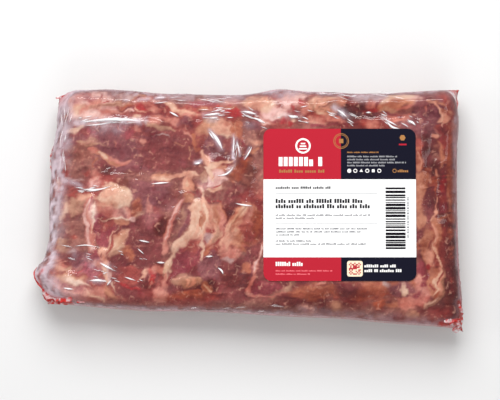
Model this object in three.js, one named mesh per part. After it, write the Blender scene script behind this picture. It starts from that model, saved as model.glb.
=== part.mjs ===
// A raw boneless beef striploin, shrink-sealed in clear film, with a square paper label on top.
// Millimetres. +X runs along the loin, +Y across it and +Z up. The origin is the middle of the base.
// The film is drawn tight on the meat, so film and meat are one closed body: its upper half has the
// ridges and hollows of the boned-out rib side, its lower half stands on a flat base, and the two
// halves meet in a thin seam that runs out into a small ear at each corner.
import * as THREE from "three";
import { mergeVertices } from "three/addons/utils/BufferGeometryUtils.js";

// Overall sizes, from ear tip to ear tip.
const LENGTH = 428;
const WIDTH = 243;
const SEAM_HEIGHT = 25;
const EDGE_HEIGHT = 56;
const CROWN = 6;

// Radii of the rounded sides above and below the seam, and the seam's own thin edge.
const UPPER_ROUNDING = { left: 26, right: 18, near: 17, far: 16 };
const LOWER_ROUNDING = { left: 14, right: 14, near: 14, far: 14 };
const ROUNDING_CHANGE = 0.16;
const SEAM_HALF_THICKNESS = 0.8;
const SEAM_TAPER = 1.5;

// The label, on a flat place in the top.
const LABEL_SIZE = 150;
const LABEL_CORNER = 8;
const LABEL_THICKNESS = 0.6;
const LABEL_CENTRE = [89.2, 3.6];
const LABEL_BED_HEIGHT = 60.4;
const LABEL_BED_MARGIN = 3;
const LABEL_BED_BLEND = 14;
const LABEL_GAP = 0.3;

// The grid: columns across the length are close where the top has relief and wide under the label.
const FINE_COLUMN = 4.6;
const WIDE_COLUMN = 9.5;
const ROW = 5.1;
const WALL_STEPS = 5;
const LOWER_STEPS = 5;

// Corners of the seam, which are the tips of the film ears.
const CORNERS = {
  farLeft: [-191, 114.5],
  farRight: [211.5, WIDTH / 2],
  nearRight: [LENGTH / 2, -WIDTH / 2],
  nearLeft: [-201, -94],
};

// Each seam edge runs straight between two ears, set in by inset away from them, with swellings
// given as [place along the edge from 0 to 1, swelling outwards, half width].
const EAR_REACH = 7;
const FAR_EDGE = {
  inset: 0.5,
  swellings: [
    [0.035, 3, 0.03],
    [0.09, 5.5, 0.08],
    [0.18, 3.2, 0.075],
    [0.44, -2, 0.08],
    [0.55, 3.6, 0.05],
    [0.79, -3, 0.1],
  ],
};
const NEAR_EDGE = {
  inset: 3.6,
  swellings: [[0.1, 2.8, 0.12], [0.24, 3, 0.1], [0.7, -1.4, 0.08]],
};
const LEFT_EDGE = {
  inset: 0,
  swellings: [
    [0.09, 6, 0.05],
    [0.155, 13.2, 0.055],
    [0.25, 3.2, 0.05],
    [0.52, 4.2, 0.2],
    [0.71, 3.4, 0.06],
  ],
};
const RIGHT_EDGE = {
  inset: 3.4,
  swellings: [[0.13, 2.2, 0.08], [0.86, 2, 0.06], [0.5, -1, 0.2]],
};

// Ridges: the strips of meat and fat between the ribs, the fat roll on the far shoulder and the rim
// at the right end, each along a few points, with a half width and a height.
const RIDGES = [
  { path: [[-175, 87], [-130, 88], [-86, 82]], halfWidth: 6, height: 2.1 },
  { path: [[-154, 11], [-158, -8], [-154, -36], [-143, -60]], halfWidth: 5.5, height: 2.1 },
  { path: [[-123, -20], [-128, -34], [-137, -47], [-139, -72]], halfWidth: 4.5, height: 1.9 },
  { path: [[-66, 12], [-72, -7], [-80, -33], [-81, -62], [-86, -86]], halfWidth: 5.5, height: 2.7 },
  { path: [[-50, 5], [-54, -22], [-70, -38]], halfWidth: 7, height: 2.5 },
  { path: [[-34, 3], [-31, -20], [-40, -48]], halfWidth: 8, height: 2.5 },
  { path: [[-2, 3], [-15, -12], [-27, -40]], halfWidth: 6, height: 2.2 },
  { path: [[11, 26], [-6, -20], [-18, -60]], halfWidth: 12, height: 2.2 },
  { path: [[14, -26], [8, -56], [0, -82]], halfWidth: 5, height: 2.7 },
  { path: [[-50, 82], [-48, 60], [-40, 43]], halfWidth: 5, height: 1.9 },
  { path: [[-8, 78], [-10, 53], [-18, 35]], halfWidth: 5, height: 1.9 },
  { path: [[-178, -68], [-158, -76], [-132, -86]], halfWidth: 6, height: 2.1 },
  { path: [[184, 44], [184, -20], [188, -55], [188, -80], [171, -96]], halfWidth: 5.5, height: 2.2 },
];

// Mounds and hollows: [x, y, half length, half width, turn in degrees, height or minus depth].
const MOUNDS = [
  [-130, 10, 16, 13, -20, 3.8],
  [-31, 29, 14, 11, -15, 3.8],
  [25, 99, 26, 12, 6, 2.2],
  [72, 99, 28, 13, 0, 2.5],
  [150, 106, 26, 8, 0, 1.8],
  [193, 93, 10, 15, 12, 2.2],
  [-148, 103, 30, 9, 0, 1.8],
];
const HOLLOWS = [
  [-142, -22, 11, 18, 10, -3.9],
  [-63, -51, 20, 13, 47, -4.5],
  [-29, 59, 18, 14, -10, -4.5],
  [16, -80, 20, 9, 6, -2.9],
  [-115, 50, 62, 24, 0, -2],
  [-107, -36, 15, 46, 2, -2.6],
  [0, -48, 7, 28, -14, -2.2],
  [-35, -70, 12, 20, -30, -2],
  [100, -93, 62, 11, 0, -1.6],
  [114, 95, 18, 10, 0, -2],
  [199, 12, 9, 28, 0, -1.7],
];

// Slow unevenness of the whole top: [wavelength along x, along y, phase, height]. The waves are bent
// by each other, so that they make no regular pattern.
const SWELLS = [
  [150, 190, 0.4, 0.9],
  [71, -160, 1.9, 0.7],
  [-240, 58, 3.1, 0.6],
  [31, 74, 0.8, 0.35],
];
const BEND_LENGTHS = [29, 41];
const BEND = 13;

// The seam wanders up and down along the pack, and its ears are crumpled.
const SEAM_WANDER = 3;
const CRUMPLE_REACH = 15;
const CRUMPLE_HEIGHT = 2.2;
const CRUMPLE_PLEAT = 5;

const clamp01 = (value) => Math.min(1, Math.max(0, value));
const smoothStep = (value) => clamp01(value) ** 2 * (3 - 2 * clamp01(value));
const bell = (distance, halfWidth) => Math.exp(-((distance / halfWidth) ** 2));

// How far a seam edge stands out of the straight line between its two ears, at a share of its length.
function edgeOffset(edge, share, length) {
  const fromEars = (1 - Math.exp((-share * length) / EAR_REACH))
    * (1 - Math.exp((-(1 - share) * length) / EAR_REACH));
  let offset = -edge.inset;
  for (const [place, size, halfWidth] of edge.swellings) {
    offset += size * bell(share - place, halfWidth);
  }
  return offset * fromEars;
}

// A point between two corners at a share of the way.
const between = (a, b, share) => [a[0] + (b[0] - a[0]) * share, a[1] + (b[1] - a[1]) * share];

// The four seam edges as plan curves of a share from 0 to 1, left to right or near to far.
const C = CORNERS;
const farEdge = (s) => {
  const [x, y] = between(C.farLeft, C.farRight, s);
  return [x, y + edgeOffset(FAR_EDGE, s, LENGTH)];
};
const nearEdge = (s) => {
  const [x, y] = between(C.nearLeft, C.nearRight, s);
  return [x, y - edgeOffset(NEAR_EDGE, s, LENGTH)];
};
const leftEdge = (t) => {
  const [x, y] = between(C.nearLeft, C.farLeft, t);
  return [x - edgeOffset(LEFT_EDGE, t, WIDTH), y];
};
const rightEdge = (t) => {
  const [x, y] = between(C.nearRight, C.farRight, t);
  return [x + edgeOffset(RIGHT_EDGE, t, WIDTH), y];
};

// The plan point of the shares s and t: a patch stretched between the four edges.
function plan(s, t) {
  const near = nearEdge(s);
  const far = farEdge(s);
  const left = leftEdge(t);
  const right = rightEdge(t);
  const nearLine = between(C.nearLeft, C.nearRight, s);
  const farLine = between(C.farLeft, C.farRight, s);
  return [0, 1].map((k) => {
    const lengthways = near[k] * (1 - t) + far[k] * t;
    const crossways = left[k] * (1 - s) + right[k] * s;
    const corners = nearLine[k] * (1 - t) + farLine[k] * t;
    return lengthways + crossways - corners;
  });
}

// The distance from a point to a chain of straight pieces.
function distanceToPath(x, y, path) {
  let nearest = Infinity;
  for (let i = 0; i + 1 < path.length; i++) {
    const [ax, ay] = path[i];
    const [dx, dy] = [path[i + 1][0] - ax, path[i + 1][1] - ay];
    const share = clamp01(((x - ax) * dx + (y - ay) * dy) / (dx * dx + dy * dy));
    nearest = Math.min(nearest, Math.hypot(x - ax - share * dx, y - ay - share * dy));
  }
  return nearest;
}

// The height that a mound or hollow adds at a point.
function moundHeight(x, y, [cx, cy, halfLength, halfWidth, turn, height]) {
  const angle = THREE.MathUtils.degToRad(turn);
  const along = (x - cx) * Math.cos(angle) + (y - cy) * Math.sin(angle);
  const across = (y - cy) * Math.cos(angle) - (x - cx) * Math.sin(angle);
  return height * bell(Math.hypot(along / halfLength, across / halfWidth), 1);
}

// All relief of the top at a point.
function relief(x, y) {
  let height = 0;
  for (const ridge of RIDGES) {
    height += ridge.height * bell(distanceToPath(x, y, ridge.path), ridge.halfWidth);
  }
  for (const mound of [...MOUNDS, ...HOLLOWS]) height += moundHeight(x, y, mound);
  const bentX = x + BEND * Math.sin(y / BEND_LENGTHS[0]);
  const bentY = y + BEND * Math.sin(x / BEND_LENGTHS[1]);
  for (const [alongX, alongY, phase, size] of SWELLS) {
    height += size * Math.sin(2 * Math.PI * (bentX / alongX + bentY / alongY) + phase);
  }
  return height;
}

// The share of a point's height that the flat bed under the label takes, from 0 to 1.
function labelBed(x, y) {
  const reach = LABEL_SIZE / 2 + LABEL_BED_MARGIN;
  const outside = Math.hypot(
    Math.max(0, Math.abs(x - LABEL_CENTRE[0]) - reach),
    Math.max(0, Math.abs(y - LABEL_CENTRE[1]) - reach),
  );
  return 1 - smoothStep(outside / LABEL_BED_BLEND);
}

// The height of the top at a plan point, before its sides turn down.
function topHeight(x, y) {
  const crown = CROWN * (1 - (2 * x / LENGTH) ** 2) * (1 - (2 * y / WIDTH) ** 2);
  const bed = labelBed(x, y);
  return (EDGE_HEIGHT + crown + relief(x, y)) * (1 - bed) + LABEL_BED_HEIGHT * bed;
}

// The seam's height at a plan point, with the crumpled pleats of the ears.
function seamHeight(x, y) {
  const wander = SEAM_WANDER * Math.sin((2 * Math.PI * x) / LENGTH + 1) * Math.cos(y / WIDTH);
  let crumple = 0;
  for (const [cx, cy] of Object.values(CORNERS)) {
    const pleats = Math.sin((2 * Math.PI * (x + Math.sign(cx * cy) * y)) / CRUMPLE_PLEAT);
    crumple += CRUMPLE_HEIGHT * pleats * bell(Math.hypot(x - cx, y - cy), CRUMPLE_REACH);
  }
  return SEAM_HEIGHT + wander + crumple;
}

// How near a place is to the seam, from 1 on it to 0 where the side's rounding ends. The rounding
// changes slowly on the way round the pack.
function nearnessToSeam(s, t, rounding) {
  const change = 1 - ROUNDING_CHANGE * (1 + Math.sin(13 * s + 9 * t)) / 2;
  const near = (distance, radius) => clamp01(1 - distance / (radius * change));
  const a = near(s * LENGTH, rounding.left) + near((1 - s) * LENGTH, rounding.right);
  const b = near(t * WIDTH, rounding.near) + near((1 - t) * WIDTH, rounding.far);
  return a + b - a * b;
}

// The thin film edge at a distance from the seam, so that the two halves never meet inside it.
function seamEdge(s, t) {
  const distance = Math.min(Math.min(s, 1 - s) * LENGTH, Math.min(t, 1 - t) * WIDTH);
  return SEAM_HALF_THICKNESS * clamp01(distance / SEAM_TAPER);
}

function upperPoint(s, t) {
  const [x, y] = plan(s, t);
  const seam = seamHeight(x, y);
  const rise = Math.sqrt(1 - nearnessToSeam(s, t, UPPER_ROUNDING) ** 2);
  return [x, y, seam + seamEdge(s, t) * (1 - rise) + (topHeight(x, y) - seam) * rise];
}

function lowerPoint(s, t) {
  const [x, y] = plan(s, t);
  const fall = Math.sqrt(1 - nearnessToSeam(s, t, LOWER_ROUNDING) ** 2);
  return [x, y, (seamHeight(x, y) - seamEdge(s, t)) * (1 - fall)];
}

// Distances that step down a rounded side, close together near the seam.
const sideSteps = (radius, steps) =>
  Array.from({ length: steps + 1 }, (_, k) => radius * (1 - Math.cos((Math.PI / 2) * (k / steps))));

// Grid lines as shares of a size: close in the two rounded sides, and by the given step between.
function gridLines(size, firstRadius, lastRadius, stepAt) {
  const lines = sideSteps(firstRadius, WALL_STEPS);
  const end = size - lastRadius;
  for (let at = firstRadius + stepAt(firstRadius); at < end - 1; at += stepAt(at)) lines.push(at);
  lines.push(...sideSteps(lastRadius, WALL_STEPS).reverse().map((line) => size - line));
  return lines.map((line) => line / size);
}

// The closed body of film and meat.
function packGeometry() {
  const bedFrom = LENGTH / 2 + LABEL_CENTRE[0] - LABEL_SIZE / 2;
  const bedTo = bedFrom + LABEL_SIZE - WIDE_COLUMN;
  const columnAt = (at) => (at > bedFrom && at < bedTo ? WIDE_COLUMN : FINE_COLUMN);
  const columns = gridLines(LENGTH, UPPER_ROUNDING.left, UPPER_ROUNDING.right, columnAt);
  const rows = gridLines(WIDTH, UPPER_ROUNDING.near, UPPER_ROUNDING.far, () => ROW);
  const lastColumn = columns.length - 1;
  const lastRow = rows.length - 1;
  const triangles = [];
  const face = (...points) => points.forEach((point) => triangles.push(...point));
  const quad = (a, b, c, d) => {
    face(a, b, c);
    face(a, c, d);
  };

  const top = rows.map((t) => columns.map((s) => upperPoint(s, t)));
  for (let j = 0; j < lastRow; j++) {
    for (let i = 0; i < lastColumn; i++) {
      quad(top[j][i], top[j][i + 1], top[j + 1][i + 1], top[j + 1][i]);
    }
  }

  // The seam's grid places in turn, and rings of the lower side that shrink from them to the base.
  const round = [
    ...columns.slice(0, -1).map((s) => [s, 0]),
    ...rows.slice(0, -1).map((t) => [1, t]),
    ...columns.slice(1).reverse().map((s) => [s, 1]),
    ...rows.slice(1).reverse().map((t) => [0, t]),
  ];
  const rings = sideSteps(LOWER_ROUNDING.near, LOWER_STEPS).map((inwards) => {
    const shrunk = (share, size) => 0.5 + (share - 0.5) * (1 - (2 * inwards) / size);
    return round.map(([s, t]) => lowerPoint(shrunk(s, LENGTH), shrunk(t, WIDTH)));
  });
  rings[0] = round.map(([s, t]) => upperPoint(s, t));
  for (let k = 0; k < LOWER_STEPS; k++) {
    round.forEach((_, i) => {
      const next = (i + 1) % round.length;
      quad(rings[k][i], rings[k + 1][i], rings[k + 1][next], rings[k][next]);
    });
  }

  const base = rings[LOWER_STEPS];
  const outline = base.map(([x, y]) => new THREE.Vector2(x, y));
  for (const [a, b, c] of THREE.ShapeUtils.triangulateShape(outline, [])) {
    face(base[a], base[c], base[b]);
  }

  const geometry = new THREE.BufferGeometry();
  geometry.setAttribute("position", new THREE.Float32BufferAttribute(triangles, 3));
  const merged = mergeVertices(geometry, 1e-3);
  merged.computeVertexNormals();
  return merged;
}

// The paper label: a thin square plate with round corners.
function labelGeometry() {
  const half = LABEL_SIZE / 2;
  const shape = new THREE.Shape();
  shape.moveTo(-half + LABEL_CORNER, -half);
  shape.lineTo(half - LABEL_CORNER, -half);
  shape.absarc(half - LABEL_CORNER, -half + LABEL_CORNER, LABEL_CORNER, -Math.PI / 2, 0);
  shape.lineTo(half, half - LABEL_CORNER);
  shape.absarc(half - LABEL_CORNER, half - LABEL_CORNER, LABEL_CORNER, 0, Math.PI / 2);
  shape.lineTo(-half + LABEL_CORNER, half);
  shape.absarc(-half + LABEL_CORNER, half - LABEL_CORNER, LABEL_CORNER, Math.PI / 2, Math.PI);
  shape.lineTo(-half, -half + LABEL_CORNER);
  shape.absarc(-half + LABEL_CORNER, -half + LABEL_CORNER, LABEL_CORNER, Math.PI, 1.5 * Math.PI);
  return new THREE.ExtrudeGeometry(shape, {
    depth: LABEL_THICKNESS,
    bevelEnabled: false,
    curveSegments: 8,
  });
}

function namedMesh(name, geometry, material) {
  const mesh = new THREE.Mesh(geometry, material);
  mesh.name = name;
  return mesh;
}

const sealedMeat = new THREE.MeshStandardMaterial({ color: 0x8a3a3a, roughness: 0.25, metalness: 0 });
const labelPaper = new THREE.MeshStandardMaterial({ color: 0xf4f2f0, roughness: 0.45, metalness: 0 });

const striploin = new THREE.Group();
striploin.add(namedMesh("sealed_striploin", packGeometry(), sealedMeat));

const label = namedMesh("label", labelGeometry(), labelPaper);
label.position.set(...LABEL_CENTRE, LABEL_BED_HEIGHT + LABEL_GAP);
striploin.add(label);

export default striploin;
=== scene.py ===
"""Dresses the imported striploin: raw meat, the film shrunk over it, and the printed paper label.

Lengths are in millimetres unless a name says metres. Every piece is computed on grids from a few
named sizes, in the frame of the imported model, and made as a mesh in metres.
"""

from __future__ import annotations

import logging
import math
from collections.abc import Callable, Sequence
from dataclasses import dataclass, field
from enum import Enum

import bpy
import numpy as np
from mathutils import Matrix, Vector

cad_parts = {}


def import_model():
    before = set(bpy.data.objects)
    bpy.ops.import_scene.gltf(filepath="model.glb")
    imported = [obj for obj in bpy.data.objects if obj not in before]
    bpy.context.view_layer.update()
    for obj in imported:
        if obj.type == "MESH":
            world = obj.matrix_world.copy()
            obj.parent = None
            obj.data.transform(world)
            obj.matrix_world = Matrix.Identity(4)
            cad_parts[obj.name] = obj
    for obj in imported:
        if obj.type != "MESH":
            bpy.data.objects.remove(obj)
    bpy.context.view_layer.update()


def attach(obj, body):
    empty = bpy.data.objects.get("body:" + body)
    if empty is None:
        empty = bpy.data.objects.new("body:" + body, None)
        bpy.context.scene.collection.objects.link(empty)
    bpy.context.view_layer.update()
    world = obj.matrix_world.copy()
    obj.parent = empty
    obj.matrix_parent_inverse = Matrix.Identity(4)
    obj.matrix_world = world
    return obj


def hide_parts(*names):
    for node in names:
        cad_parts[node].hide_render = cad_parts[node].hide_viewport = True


LOG = logging.getLogger("striploin")
METRES = 0.001
BODY = "root"
TINY = 1e-9
# How light the painted meat is, the lightest that a channel gets, and how crisp its marks are.
PAINT_LEVEL = 0.81
LIGHTEST = 0.93
CRISPNESS = 1.8

Array = np.ndarray
Colour = tuple[float, float, float]
Point = tuple[float, float]
Span = tuple[float, float]


def linear(red: int, green: int, blue: int) -> Colour:
    """Turns a colour as seen on screen into the linear one that shaders use.

    Args:
        red: From 0 to 255.
        green: From 0 to 255.
        blue: From 0 to 255.

    Returns:
        Three linear shares.
    """
    shares = (channel / 255 for channel in (red, green, blue))
    return tuple(c / 12.92 if c <= 0.04045 else ((c + 0.055) / 1.055) ** 2.4 for c in shares)


def clamp01(values: Array | float) -> Array:
    """Values held between 0 and 1."""
    return np.clip(values, 0.0, 1.0)


def smooth_step(values: Array | float) -> Array:
    """An even rise from 0 to 1, level at both ends."""
    held = clamp01(values)
    return held * held * (3 - 2 * held)


def bell(distance: Array, half_width: float) -> Array:
    """A soft hump of height 1 that is gone at about twice its half width."""
    return np.exp(-((distance / half_width) ** 2))


def fading(distance: Array, end: float, blend: float) -> Array:
    """A share of 1 near an edge that falls over the blend to 0 at the end."""
    return smooth_step((end - distance) / blend)


def standard(values: Array) -> Array:
    """Values moved and scaled to a mean of 0 and a spread of 1."""
    return (values - values.mean()) / values.std()


def blended(first: Array, second: Array, share: Array) -> Array:
    """Colours between two, from the first at a share of 0 to the second at 1."""
    return first + (second - first) * share[..., None]


class Noise:
    """Smooth uneven values in space, the same on every run.

    Args:
        seed: Which pattern it is.
    """

    SIZE = 48
    SHIFT = 17.3
    SPREAD = 0.17

    def __init__(self, seed: int) -> None:
        """Draws the values at the corners of a repeating lattice."""
        self.lattice = np.random.default_rng(seed).random((self.SIZE,) * 3)

    def at(self, points: Array, wavelength: float | Sequence[float]) -> Array:
        """Reads the pattern.

        Args:
            points: Places, with x, y and z last.
            wavelength: The size of its lumps, or one for each axis.

        Returns:
            A value from 0 to 1 at each place.
        """
        scaled = points / np.asarray(wavelength, float)
        cell = np.floor(scaled).astype(int)
        share = scaled - cell
        share = share * share * (3 - 2 * share)
        total = np.zeros(points.shape[:-1])
        for corner in np.ndindex(2, 2, 2):
            weight = np.prod(np.where(corner, share, 1 - share), axis=-1)
            index = tuple((cell[..., k] + corner[k]) % self.SIZE for k in range(3))
            total += weight * self.lattice[index]
        return total

    def layered(self, points: Array, wavelength: float | Sequence[float], layers: int = 3) -> Array:
        """Adds finer and weaker copies of the pattern.

        Args:
            points: Places, with x, y and z last.
            wavelength: The size of its largest lumps.
            layers: How many copies there are.

        Returns:
            A value at each place, with a mean near 0 and a spread near 1.
        """
        total, power = np.zeros(points.shape[:-1]), 0.0
        for layer in range(layers):
            weight = 0.5**layer
            moved = points + self.SHIFT * layer
            total += weight * (self.at(moved, np.asarray(wavelength, float) * weight) - 0.5)
            power += weight * weight
        return total / (self.SPREAD * math.sqrt(power))


def path_distance(x: Array, y: Array, path: Sequence[Point]) -> tuple[Array, Array, Array]:
    """Measures how far places lie from a chain of straight pieces.

    Args:
        x: Places along the loin.
        y: Places across it.
        path: The chain's points.

    Returns:
        The distances, the share of the chain from 0 to 1 at which each place is nearest, and the
        chain's direction there in radians.
    """
    nearest = np.full(x.shape, np.inf)
    share_at, heading = np.zeros(x.shape), np.zeros(x.shape)
    pieces = len(path) - 1
    for i in range(pieces):
        (ax, ay), (bx, by) = path[i], path[i + 1]
        dx, dy = bx - ax, by - ay
        share = clamp01(((x - ax) * dx + (y - ay) * dy) / (dx * dx + dy * dy))
        away = np.hypot(x - ax - share * dx, y - ay - share * dy)
        closer = away < nearest
        nearest = np.where(closer, away, nearest)
        share_at = np.where(closer, (i + share) / pieces, share_at)
        heading = np.where(closer, math.atan2(dy, dx), heading)
    return nearest, share_at, heading


def oval_share(x: Array, y: Array, oval: Mound | Patch | Tone) -> Array:
    """Measures how far places lie from the middle of a turned oval.

    Args:
        x: Places along the loin.
        y: Places across it.
        oval: The oval, with its centre, half length, half width and turn in degrees.

    Returns:
        The distances as shares of the oval's reach, 1 on its border.
    """
    cos, sin = math.cos(math.radians(oval.turn)), math.sin(math.radians(oval.turn))
    dx, dy = x - oval.centre[0], y - oval.centre[1]
    along, across = dx * cos + dy * sin, dy * cos - dx * sin
    return np.hypot(along / oval.half_length, across / oval.half_width)


@dataclass(frozen=True)
class Ridge:
    """A raised strip of meat or fat."""

    path: tuple[Point, ...]
    half_width: float
    height: float

    def over(self, x: Array, y: Array) -> Array:
        """The height that the strip adds at each place."""
        return self.height * bell(path_distance(x, y, self.path)[0], self.half_width)


@dataclass(frozen=True)
class Mound:
    """A rounded mound, or a hollow where its height is below zero."""

    centre: Point
    half_length: float
    half_width: float
    turn: float
    height: float

    def over(self, x: Array, y: Array) -> Array:
        """The height that the mound adds at each place."""
        return self.height * bell(oval_share(x, y, self), 1)


@dataclass(frozen=True)
class SeamEdge:
    """One side of the pack's seam between two ears, with its swellings outwards."""

    start: Point
    end: Point
    outwards: Point
    length: float
    inset: float
    swellings: tuple[tuple[float, float, float], ...]
    ear_reach: float = 7

    def at(self, share: Array) -> Array:
        """Plan points of the side.

        Args:
            share: How far along it they are, from 0 to 1.

        Returns:
            Points, with x and y last.
        """
        from_ears = (1 - np.exp(-share * self.length / self.ear_reach)) * (
            1 - np.exp(-(1 - share) * self.length / self.ear_reach)
        )
        offset = np.full(share.shape, -self.inset)
        for place, size, half_width in self.swellings:
            offset = offset + size * bell(share - place, half_width)
        return self.straight(share) + (offset * from_ears)[..., None] * np.array(self.outwards)

    def straight(self, share: Array) -> Array:
        """Points of the straight line between the two ears."""
        start, end = np.array(self.start), np.array(self.end)
        return start + (end - start) * share[..., None]


RIDGES = (
    Ridge(((-175, 87), (-130, 88), (-86, 82)), 6, 2.1),
    Ridge(((-154, 11), (-158, -8), (-154, -36), (-143, -60)), 5.5, 2.1),
    Ridge(((-123, -20), (-128, -34), (-137, -47), (-139, -72)), 4.5, 1.9),
    Ridge(((-66, 12), (-72, -7), (-80, -33), (-81, -62), (-86, -86)), 5.5, 2.7),
    Ridge(((-50, 5), (-54, -22), (-70, -38)), 7, 2.5),
    Ridge(((-34, 3), (-31, -20), (-40, -48)), 8, 2.5),
    Ridge(((-2, 3), (-15, -12), (-27, -40)), 6, 2.2),
    Ridge(((11, 26), (-6, -20), (-18, -60)), 12, 2.2),
    Ridge(((14, -26), (8, -56), (0, -82)), 5, 2.7),
    Ridge(((-50, 82), (-48, 60), (-40, 43)), 5, 1.9),
    Ridge(((-8, 78), (-10, 53), (-18, 35)), 5, 1.9),
    Ridge(((-178, -68), (-158, -76), (-132, -86)), 6, 2.1),
    Ridge(((184, 44), (184, -20), (188, -55), (188, -80), (171, -96)), 5.5, 2.2),
)
MOUNDS = (
    Mound((-130, 10), 16, 13, -20, 3.8),
    Mound((-31, 29), 14, 11, -15, 3.8),
    Mound((25, 99), 26, 12, 6, 2.2),
    Mound((72, 99), 28, 13, 0, 2.5),
    Mound((150, 106), 26, 8, 0, 1.8),
    Mound((193, 93), 10, 15, 12, 2.2),
    Mound((-148, 103), 30, 9, 0, 1.8),
    Mound((-142, -22), 11, 18, 10, -3.9),
    Mound((-63, -51), 20, 13, 47, -4.5),
    Mound((-29, 59), 18, 14, -10, -4.5),
    Mound((16, -80), 20, 9, 6, -2.9),
    Mound((-115, 50), 62, 24, 0, -2),
    Mound((-107, -36), 15, 46, 2, -2.6),
    Mound((0, -48), 7, 28, -14, -2.2),
    Mound((-35, -70), 12, 20, -30, -2),
    Mound((100, -93), 62, 11, 0, -1.6),
    Mound((114, 95), 18, 10, 0, -2),
    Mound((199, 12), 9, 28, 0, -1.7),
)


@dataclass(frozen=True)
class PackForm:
    """The pack's outer form: a patch between four seam edges, with rounded sides and relief."""

    length: float = 428
    width: float = 243
    seam_height: float = 25
    edge_height: float = 56
    crown: float = 6
    upper_rounding: tuple[float, float, float, float] = (26, 18, 17, 16)
    lower_rounding: tuple[float, float, float, float] = (14, 14, 14, 14)
    rounding_change: float = 0.16
    rounding_waves: tuple[float, float] = (13, 9)
    seam_half_thickness: float = 0.8
    seam_taper: float = 1.5
    seam_wander: float = 3
    seam_phase: float = 1
    crumple_reach: float = 15
    crumple_height: float = 2.2
    crumple_pleat: float = 5
    far_left: Point = (-191, 114.5)
    far_right: Point = (211.5, 121.5)
    near_right: Point = (214, -121.5)
    near_left: Point = (-201, -94)
    label_centre: Point = (89.2, 3.6)
    label_size: float = 150
    bed_height: float = 60.4
    bed_margin: float = 3
    bed_blend: float = 14
    swells: tuple[tuple[float, float, float, float], ...] = (
        (150, 190, 0.4, 0.9),
        (71, -160, 1.9, 0.7),
        (-240, 58, 3.1, 0.6),
        (31, 74, 0.8, 0.35),
    )
    bend_lengths: tuple[float, float] = (29, 41)
    bend: float = 13

    def edges(self) -> tuple[SeamEdge, SeamEdge, SeamEdge, SeamEdge]:
        """Lays out the four sides of the seam between its ears.

        Returns:
            The near, far, left and right sides.
        """
        near = SeamEdge(
            self.near_left, self.near_right, (0, -1), self.length, 3.6,
            ((0.1, 2.8, 0.12), (0.24, 3, 0.1), (0.7, -1.4, 0.08)),
        )
        far = SeamEdge(
            self.far_left, self.far_right, (0, 1), self.length, 0.5,
            (
                (0.035, 3, 0.03), (0.09, 5.5, 0.08), (0.18, 3.2, 0.075),
                (0.44, -2, 0.08), (0.55, 3.6, 0.05), (0.79, -3, 0.1),
            ),
        )
        left = SeamEdge(
            self.near_left, self.far_left, (-1, 0), self.width, 0,
            (
                (0.09, 6, 0.05), (0.155, 13.2, 0.055), (0.25, 3.2, 0.05),
                (0.52, 4.2, 0.2), (0.71, 3.4, 0.06),
            ),
        )
        right = SeamEdge(
            self.near_right, self.far_right, (1, 0), self.width, 3.4,
            ((0.13, 2.2, 0.08), (0.86, 2, 0.06), (0.5, -1, 0.2)),
        )
        return near, far, left, right

    def ears(self) -> tuple[Point, Point, Point, Point]:
        """The tips of the four film ears."""
        return self.far_left, self.far_right, self.near_right, self.near_left

    def plan(self, s: Array, t: Array) -> Array:
        """Plan points of the patch stretched between the four edges.

        Args:
            s: Shares of the length.
            t: Shares of the width.

        Returns:
            Points, with x and y last.
        """
        near, far, left, right = self.edges()
        across, along = t[..., None], s[..., None]
        lengthways = near.at(s) * (1 - across) + far.at(s) * across
        crossways = left.at(t) * (1 - along) + right.at(t) * along
        corners = near.straight(s) * (1 - across) + far.straight(s) * across
        return lengthways + crossways - corners

    def label_bed(self, x: Array, y: Array) -> Array:
        """Works out how much of the top's height the flat bed under the label takes.

        Args:
            x: Places along the loin.
            y: Places across it.

        Returns:
            Shares, from 0 away from the bed to 1 on it.
        """
        reach = self.label_size / 2 + self.bed_margin
        outside = np.hypot(
            np.maximum(0, np.abs(x - self.label_centre[0]) - reach),
            np.maximum(0, np.abs(y - self.label_centre[1]) - reach),
        )
        return 1 - smooth_step(outside / self.bed_blend)

    def relief(self, x: Array, y: Array) -> Array:
        """Adds up the ridges, mounds, hollows and slow swells of the top.

        Args:
            x: Places along the loin.
            y: Places across it.

        Returns:
            The heights that they add.
        """
        height = sum(feature.over(x, y) for feature in (*RIDGES, *MOUNDS))
        bent_x = x + self.bend * np.sin(y / self.bend_lengths[0])
        bent_y = y + self.bend * np.sin(x / self.bend_lengths[1])
        for along_x, along_y, phase, size in self.swells:
            turns = bent_x / along_x + bent_y / along_y
            height = height + size * np.sin(2 * math.pi * turns + phase)
        return height

    def top_height(self, x: Array, y: Array, extra: Array | float = 0.0) -> Array:
        """The height of the top before its sides turn down.

        Args:
            x: Places along the loin.
            y: Places across it.
            extra: Finer relief to add, which the flat bed under the label takes away again.

        Returns:
            The heights.
        """
        crown = self.crown * (1 - (2 * x / self.length) ** 2) * (1 - (2 * y / self.width) ** 2)
        bed = self.label_bed(x, y)
        free = self.edge_height + crown + self.relief(x, y) + extra
        return free * (1 - bed) + self.bed_height * bed

    def seam(self, x: Array, y: Array) -> Array:
        """Works out the seam's height, with the pleats of its crumpled ears.

        Args:
            x: Places along the loin.
            y: Places across it.

        Returns:
            The heights.
        """
        turns = 2 * math.pi * x / self.length + self.seam_phase
        height = self.seam_height + self.seam_wander * np.sin(turns) * np.cos(y / self.width)
        for cx, cy in self.ears():
            side = math.copysign(1, cx * cy)
            pleats = np.sin(2 * math.pi * (x + side * y) / self.crumple_pleat)
            near_ear = bell(np.hypot(x - cx, y - cy), self.crumple_reach)
            height = height + self.crumple_height * pleats * near_ear
        return height

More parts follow.
